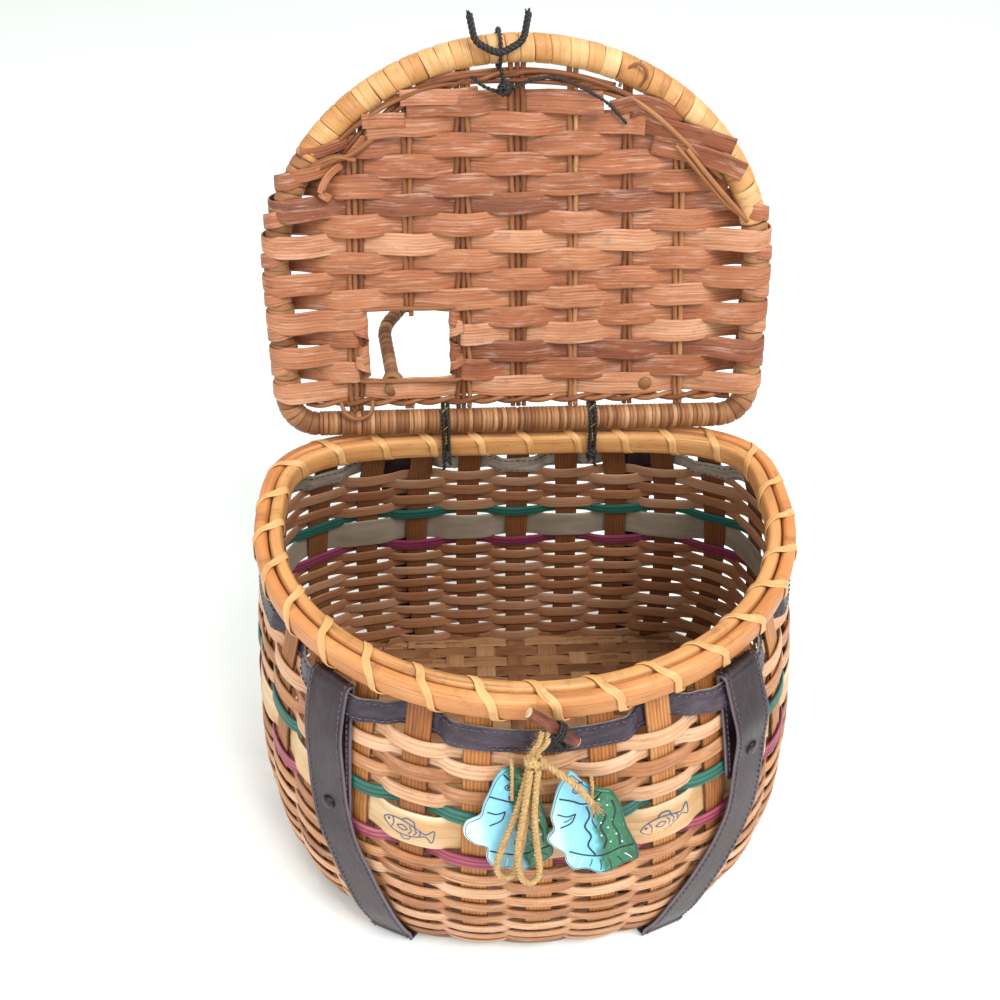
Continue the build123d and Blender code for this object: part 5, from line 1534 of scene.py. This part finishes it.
rope(b_ks, P, 1.5, 6.0, 3)
P = catmull(KN + np.array([(-1.5, 0.5, 1.0), (-0.5, 0.2, 6.5), (2.1, 0.6, 12.2), (3.9, 3.6, 16.4)], float), 10)
rope(b_ks, P, 1.4, 6.0, 3)
fuzz(b_ks, P, 1.6, 120, 985, (1.4, 4.0))
b_kn.build("twine_knot_strands", "basket", jute_m, ["twine_knot"], "jute")
stems = b_ks.build("twine_stems", None, jute_m, slot="jute")
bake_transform(stems)

# ------------------------------------------------------------------ painted fish charms
CT, STL = cos(radians(12)), sin(radians(12))
FISH_R = [(-9.74, 17.5), (-3.74, 11), (3.26, 7), (9.26, 5.5), (13.76, -2), (15.76, -10), (17.76, -17),
          (20.76, -24), (23.26, -30), (23.76, -36.5), (17.26, -39.5), (11.26, -44), (5.26, -45.5), (-0.74, -42.5),
          (-6.74, -42.5), (-10.74, -38), (-12.24, -32), (-17.74, -27), (-20.24, -22), (-17.24, -16.5),
          (-18.74, -9), (-17.74, -2), (-16.24, 6), (-13.74, 13)]
FISH_L = [(1.83, 17), (7.83, 10), (11.83, 4), (13.83, -4), (15.83, -12), (17.33, -20), (18.33, -28), (19.83, -36),
          (13.83, -42), (5.83, -46), (-1.17, -44.5), (-8.17, -44), (-12.17, -38), (-12.17, -31), (-18.17, -28),
          (-22.67, -22), (-21.67, -15), (-15.17, -11), (-13.17, -4), (-10.17, 4), (-7.17, 12), (-3.17, 17)]
ORG = {"right": np.array([22.74, -123.226, 141.0]), "left": np.array([-13.83, -119.717, 141.0])}


def charm_pt(side, P):
    """charm coordinates (x right, y up, z out) to the shared frame"""
    P = np.asarray(P, float)
    x, y, z = P[..., 0], P[..., 1], P[..., 2]
    o = ORG[side]
    # z out = (0, -ct, stl); y up = z cross x
    return np.stack([o[0] + x, o[1] + y * STL - z * CT, o[2] + y * CT + z * STL], -1)


def fish_mat():
    n = Net("painted_fish", 0.3, Specular_IOR_Level=0.5)
    st = n.attr()
    s = n.sep(st)
    f = n.math("MULTIPLY_ADD", s[1], 0.17, s[0])
    wv = n.noise(n.vmul(st, (0.12, 0.12, 0.0)), detail=2.0)
    f = n.math("MULTIPLY_ADD", n.math("MULTIPLY_ADD", wv, 1.0, -0.5), 6.0, f)
    f = n.math("MULTIPLY_ADD", f, 0.02, 0.5)
    fine = n.noise(n.vmul(st, (0.9, 0.25, 3.0)), detail=4.0)
    col = n.ramp(f, [(0.10, "#c4e6ee"), (0.22, "#8fd0e6"), (0.46, "#72bcd8"), (0.50, "#3b8586"), (0.53, "#1b6246"), (0.66, "#23704a"), (0.85, "#144a33")])
    col = n.mix(n.math("MULTIPLY", n.ramp(fine, [(0.55, 0.0), (0.78, 1.0)]), 0.22), col, "#cfe9e4")
    n.color(col)
    n.bump(fine, 0.15, 0.0003)
    return n.mat


fish_m = fish_mat()
ink_m = simple("fish_ink", [(0.3, "#0c1114"), (0.7, "#1e2a2e")], 0.35, 700.0)
white_m = simple("fish_white", [(0.3, "#dfe9e6"), (0.7, "#f7fbfa")], 0.35, 700.0)


def fish_body(side, outline):
    pts = catmull(np.array(outline, float), 6, closed=True)
    hole = [(1.35 * cos(a), 1.35 * sin(a)) for a in np.linspace(0, 2 * pi, 20, endpoint=False)]
    cu = bpy.data.curves.new("fish_" + side, "CURVE")
    cu.dimensions = "2D"
    cu.fill_mode = "BOTH"
    cu.extrude = 0.55
    cu.bevel_depth = 0.72
    cu.bevel_resolution = 3
    cu.offset = -0.72
    for ring in (pts, hole):
        sp = cu.splines.new("POLY")
        sp.points.add(len(ring) - 1)
        for k, p in enumerate(ring):
            sp.points[k].co = (p[0], p[1], 0, 1)
        sp.use_cyclic_u = True
    ob = bpy.data.objects.new("fish_tmp", cu)
    me = bpy.data.meshes.new_from_object(ob)
    me.name = "fish_%s_painted" % side
    co = np.empty(len(me.vertices) * 3, np.float32)
    me.vertices.foreach_get("co", co)
    co = co.reshape(-1, 3).astype(float)
    me.vertices.foreach_set("co", (charm_pt(side, co) * MM).astype(np.float32).ravel())
    me.update()
    a = me.attributes.new("st", "FLOAT_VECTOR", "POINT")
    a.data.foreach_set("vector", co.astype(np.float32).ravel())
    me.materials.clear()
    me.materials.append(fish_m)
    o2 = bpy.data.objects.new("fish_%s_painted" % side, me)
    bpy.context.scene.collection.objects.link(o2)
    bpy.data.objects.remove(ob)
    bpy.data.curves.remove(cu)
    me.shade_smooth()
    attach(o2, "charm_" + side)
    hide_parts("fish_charm_" + side)
    return pts


def stroke(bag, side, pts, r=0.32, z=1.3):
    P = catmull(np.array(pts, float), 7)
    P = resample(P, 0.5)
    tube(bag, charm_pt(side, np.column_stack([P, np.full(len(P), z)])), r, 6)


for side, outl_, M in (("right", FISH_R, lambda x, y: (x, y)), ("left", FISH_L, lambda x, y: (x + 0.5 + 0.10 * (y + 10) * 0 , y))):
    pts = fish_body(side, outl_)
    ink, wht = Bag(), Bag()
    # mouth, gill cover, side line, fins and tail rays: our own plain pattern
    if side == "right":
        stroke(ink, side, [(-10.5, 14.5), (-7.5, 11.8), (-4.2, 12.3)], 0.42)
        stroke(ink, side, [(-14.8, 2.5), (-9.0, 1.0), (-3.5, -1.0), (1.5, 1.6), (4.5, 6.0)], 0.42)
        stroke(ink, side, [(-2.2, -2.5), (-0.5, -8.5), (-2.5, -15), (0.6, -21), (-0.6, -27), (3.0, -33)], 0.45)
        stroke(ink, side, [(-15.5, -7.0), (-11.0, -8.5), (-7.0, -7.0)], 0.36)
        stroke(ink, side, [(-7.0, -7.0), (-9.0, -12.5), (-14.0, -15.5)], 0.36)
        stroke(ink, side, [(-8.5, -9.0), (-10.5, -11.0), (-12.5, -12.0)], 0.24)
        stroke(ink, side, [(4.0, -3.0), (7.0, -9.0), (5.0, -16.0), (8.0, -23.0), (7.0, -29.0)], 0.5)
        stroke(ink, side, [(9.5, 1.0), (11.5, -6.0), (10.5, -13.0), (13.5, -20.0), (14.5, -27.0)], 0.4)
        stroke(ink, side, [(1.0, -1.5), (2.5, -6.0), (0.8, -11.0), (3.0, -16.5)], 0.3)
        stroke(ink, side, [(-9.5, -30.5), (-2.0, -33.0), (6.5, -33.5), (14.5, -29.0), (21.0, -27.0)], 0.4)
        eye = (-7.2, 7.2)
        rays = [((1.5, -36), (0.5, -40.5)), ((5.5, -36.5), (6.0, -43)), ((9.5, -36), (11, -42)), ((13.5, -34.5), (16.5, -38.5)), ((17, -32.5), (20.5, -35.5)), ((-3, -35), (-5, -40)), ((-6.5, -33.5), (-9, -37.5))]
        dots = [(3.5, 1.5), (7.5, -2), (6.5, -8), (10.5, -11), (8.5, -16), (12.5, -20), (10.0, -25), (15.5, -25), (5.0, -13), (5.5, -21)]
    else:
        stroke(ink, side, [(-3.8, 14.5), (-0.8, 11.2), (2.8, 12.0)], 0.42)
        stroke(ink, side, [(-10.4, 1.5), (-5.0, -0.6), (0.5, -2.2), (5.6, 0.6), (9.5, 4.4)], 0.42)
        stroke(ink, side, [(2.6, -4.0), (3.6, -10.0), (1.0, -16), (3.4, -22), (1.4, -28), (3.6, -34)], 0.45)
        stroke(ink, side, [(-11.5, -8.0), (-7.0, -9.5), (-3.0, -8.0)], 0.36)
        stroke(ink, side, [(-3.0, -8.0), (-5.0, -13.5), (-10.5, -16.5)], 0.36)
        stroke(ink, side, [(7.5, -4.0), (9.5, -10.0), (7.5, -17.0), (10.5, -24.0), (9.0, -30.0)], 0.5)
        stroke(ink, side, [(11.0, 1.0), (12.5, -6.0), (12.0, -14.0), (14.5, -21.0), (15.0, -28.0)], 0.36)
        stroke(ink, side, [(-10.6, -32.5), (-4.0, -34.5), (4.0, -35.5), (11.5, -33.0), (18.0, -30.5)], 0.4)
        eye = (-1.6, 6.6)
        rays = [((-6, -36.5), (-8.5, -41)), ((-2, -37.5), (-3, -42.5)), ((2.5, -38), (3.0, -44)), ((6.5, -37.5), (8.5, -42.5)), ((10.5, -36), (13.5, -39.5)), ((14, -34.5), (17, -36.5))]
        dots = [(8.0, -0.5), (10.5, -5), (8.5, -10), (12.5, -14), (9.5, -18), (13.5, -23), (10.0, -27), (7.0, -15), (6.5, -23)]
    th = np.linspace(0, 2 * pi, 25)
    stroke(ink, side, [(eye[0] + 1.5 * cos(a), eye[1] + 1.5 * sin(a)) for a in th], 0.3)
    for (x0, y0), (x1, y1) in rays:
        stroke(wht if (x0 + y0) % 2 < 1 else ink, side, [(x0, y0), ((x0 + x1) / 2 + 0.3, (y0 + y1) / 2), (x1, y1)], 0.26)
    for (x, y) in dots + [eye]:
        rr = 0.8 if (x, y) == eye else 0.55
        ang = np.linspace(0, 2 * pi, 12, endpoint=False)
        V = [charm_pt(side, np.array([x, y, 1.5]))]
        for q, zz in ((0.7, 1.46), (1.0, 1.15)):
            V += [charm_pt(side, np.array([x + rr * q * cos(a), y + rr * q * sin(a), zz])) for a in ang]
        T = [(0, 1 + k, 1 + (k + 1) % 12) for k in range(12)]
        Q = [(1 + k, 13 + k, 13 + (k + 1) % 12, 1 + (k + 1) % 12) for k in range(12)]
        (ink if (x, y) == eye else wht).add(np.array(V), Q=Q, T=T)
    # dark edge line
    stroke(ink, side, [tuple(p * 0.965 + np.array([0.1, -0.5])) for p in pts[::3]] + [tuple(pts[0] * 0.965 + np.array([0.1, -0.5]))], 0.2, 1.22)
    ink.build("fish_%s_ink" % side, "charm_" + side, ink_m)
    wht.build("fish_%s_white" % side, "charm_" + side, white_m)

b_hg = Bag()
for side, top in (("right", 12.4), ("left", 20.4)):
    hu, rad = 1.3 + 0.3 + 1.0, 1.25
    pts = [(0, 0), (hu, 0), (hu, top), (-hu, top), (-hu, 0), (0, 0)]
    P2 = fillet_line([(0.0, v, u_) for u_, v in pts], [rad] * 4, 0.5)[:-1]
    rope(b_hg, charm_pt(side, P2), 1.0, 4.0, 2, closed=True)
b_hg.build("charm_hanger_twine", "basket", jute_m, ["charm_hangers"], "jute")

# ------------------------------------------------------------------ floor and light
fl = bpy.data.meshes.new("floor")
fl.from_pydata([(-6, -4, 0), (6, -4, 0), (6, 8, 0), (-6, 8, 0)], [], [(0, 1, 2, 3)])
flo = bpy.data.objects.new("floor", fl)
bpy.context.scene.collection.objects.link(flo)
fm = Net("floor_paper", 0.9, Specular_IOR_Level=0.1)
fm.color(fm.ramp(fm.noise(fm.obj(), 0.8, 2.0), [(0.3, "#f1f5f3"), (0.7, "#f5f8f6")]))
fl.materials.append(fm.mat)


def area(name, loc, target, size, power, color=(1, 1, 1)):
    d = bpy.data.lights.new(name, "AREA")
    d.shape = "RECTANGLE"
    d.size, d.size_y = size
    d.energy = power
    d.color = color
    o = bpy.data.objects.new(name, d)
    bpy.context.scene.collection.objects.link(o)
    o.location = loc
    o.rotation_euler = (Vector(target) - Vector(loc)).to_track_quat("-Z", "Y").to_euler()
    return o


area("key", (0.75, -0.75, 1.75), (0, 0, 0.15), (0.9, 0.9), 34)
area("fill", (-1.0, -1.3, 0.9), (0, 0, 0.15), (1.4, 1.2), 12)
area("top", (0.0, 0.5, 2.2), (0, 0, 0.1), (1.8, 1.2), 14)
w = bpy.data.worlds.new("studio")
bpy.context.scene.world = w
w.use_nodes = True
w.node_tree.nodes["Background"].inputs[0].default_value = (0.93, 0.96, 0.94, 1)
w.node_tree.nodes["Background"].inputs[1].default_value = 0.75
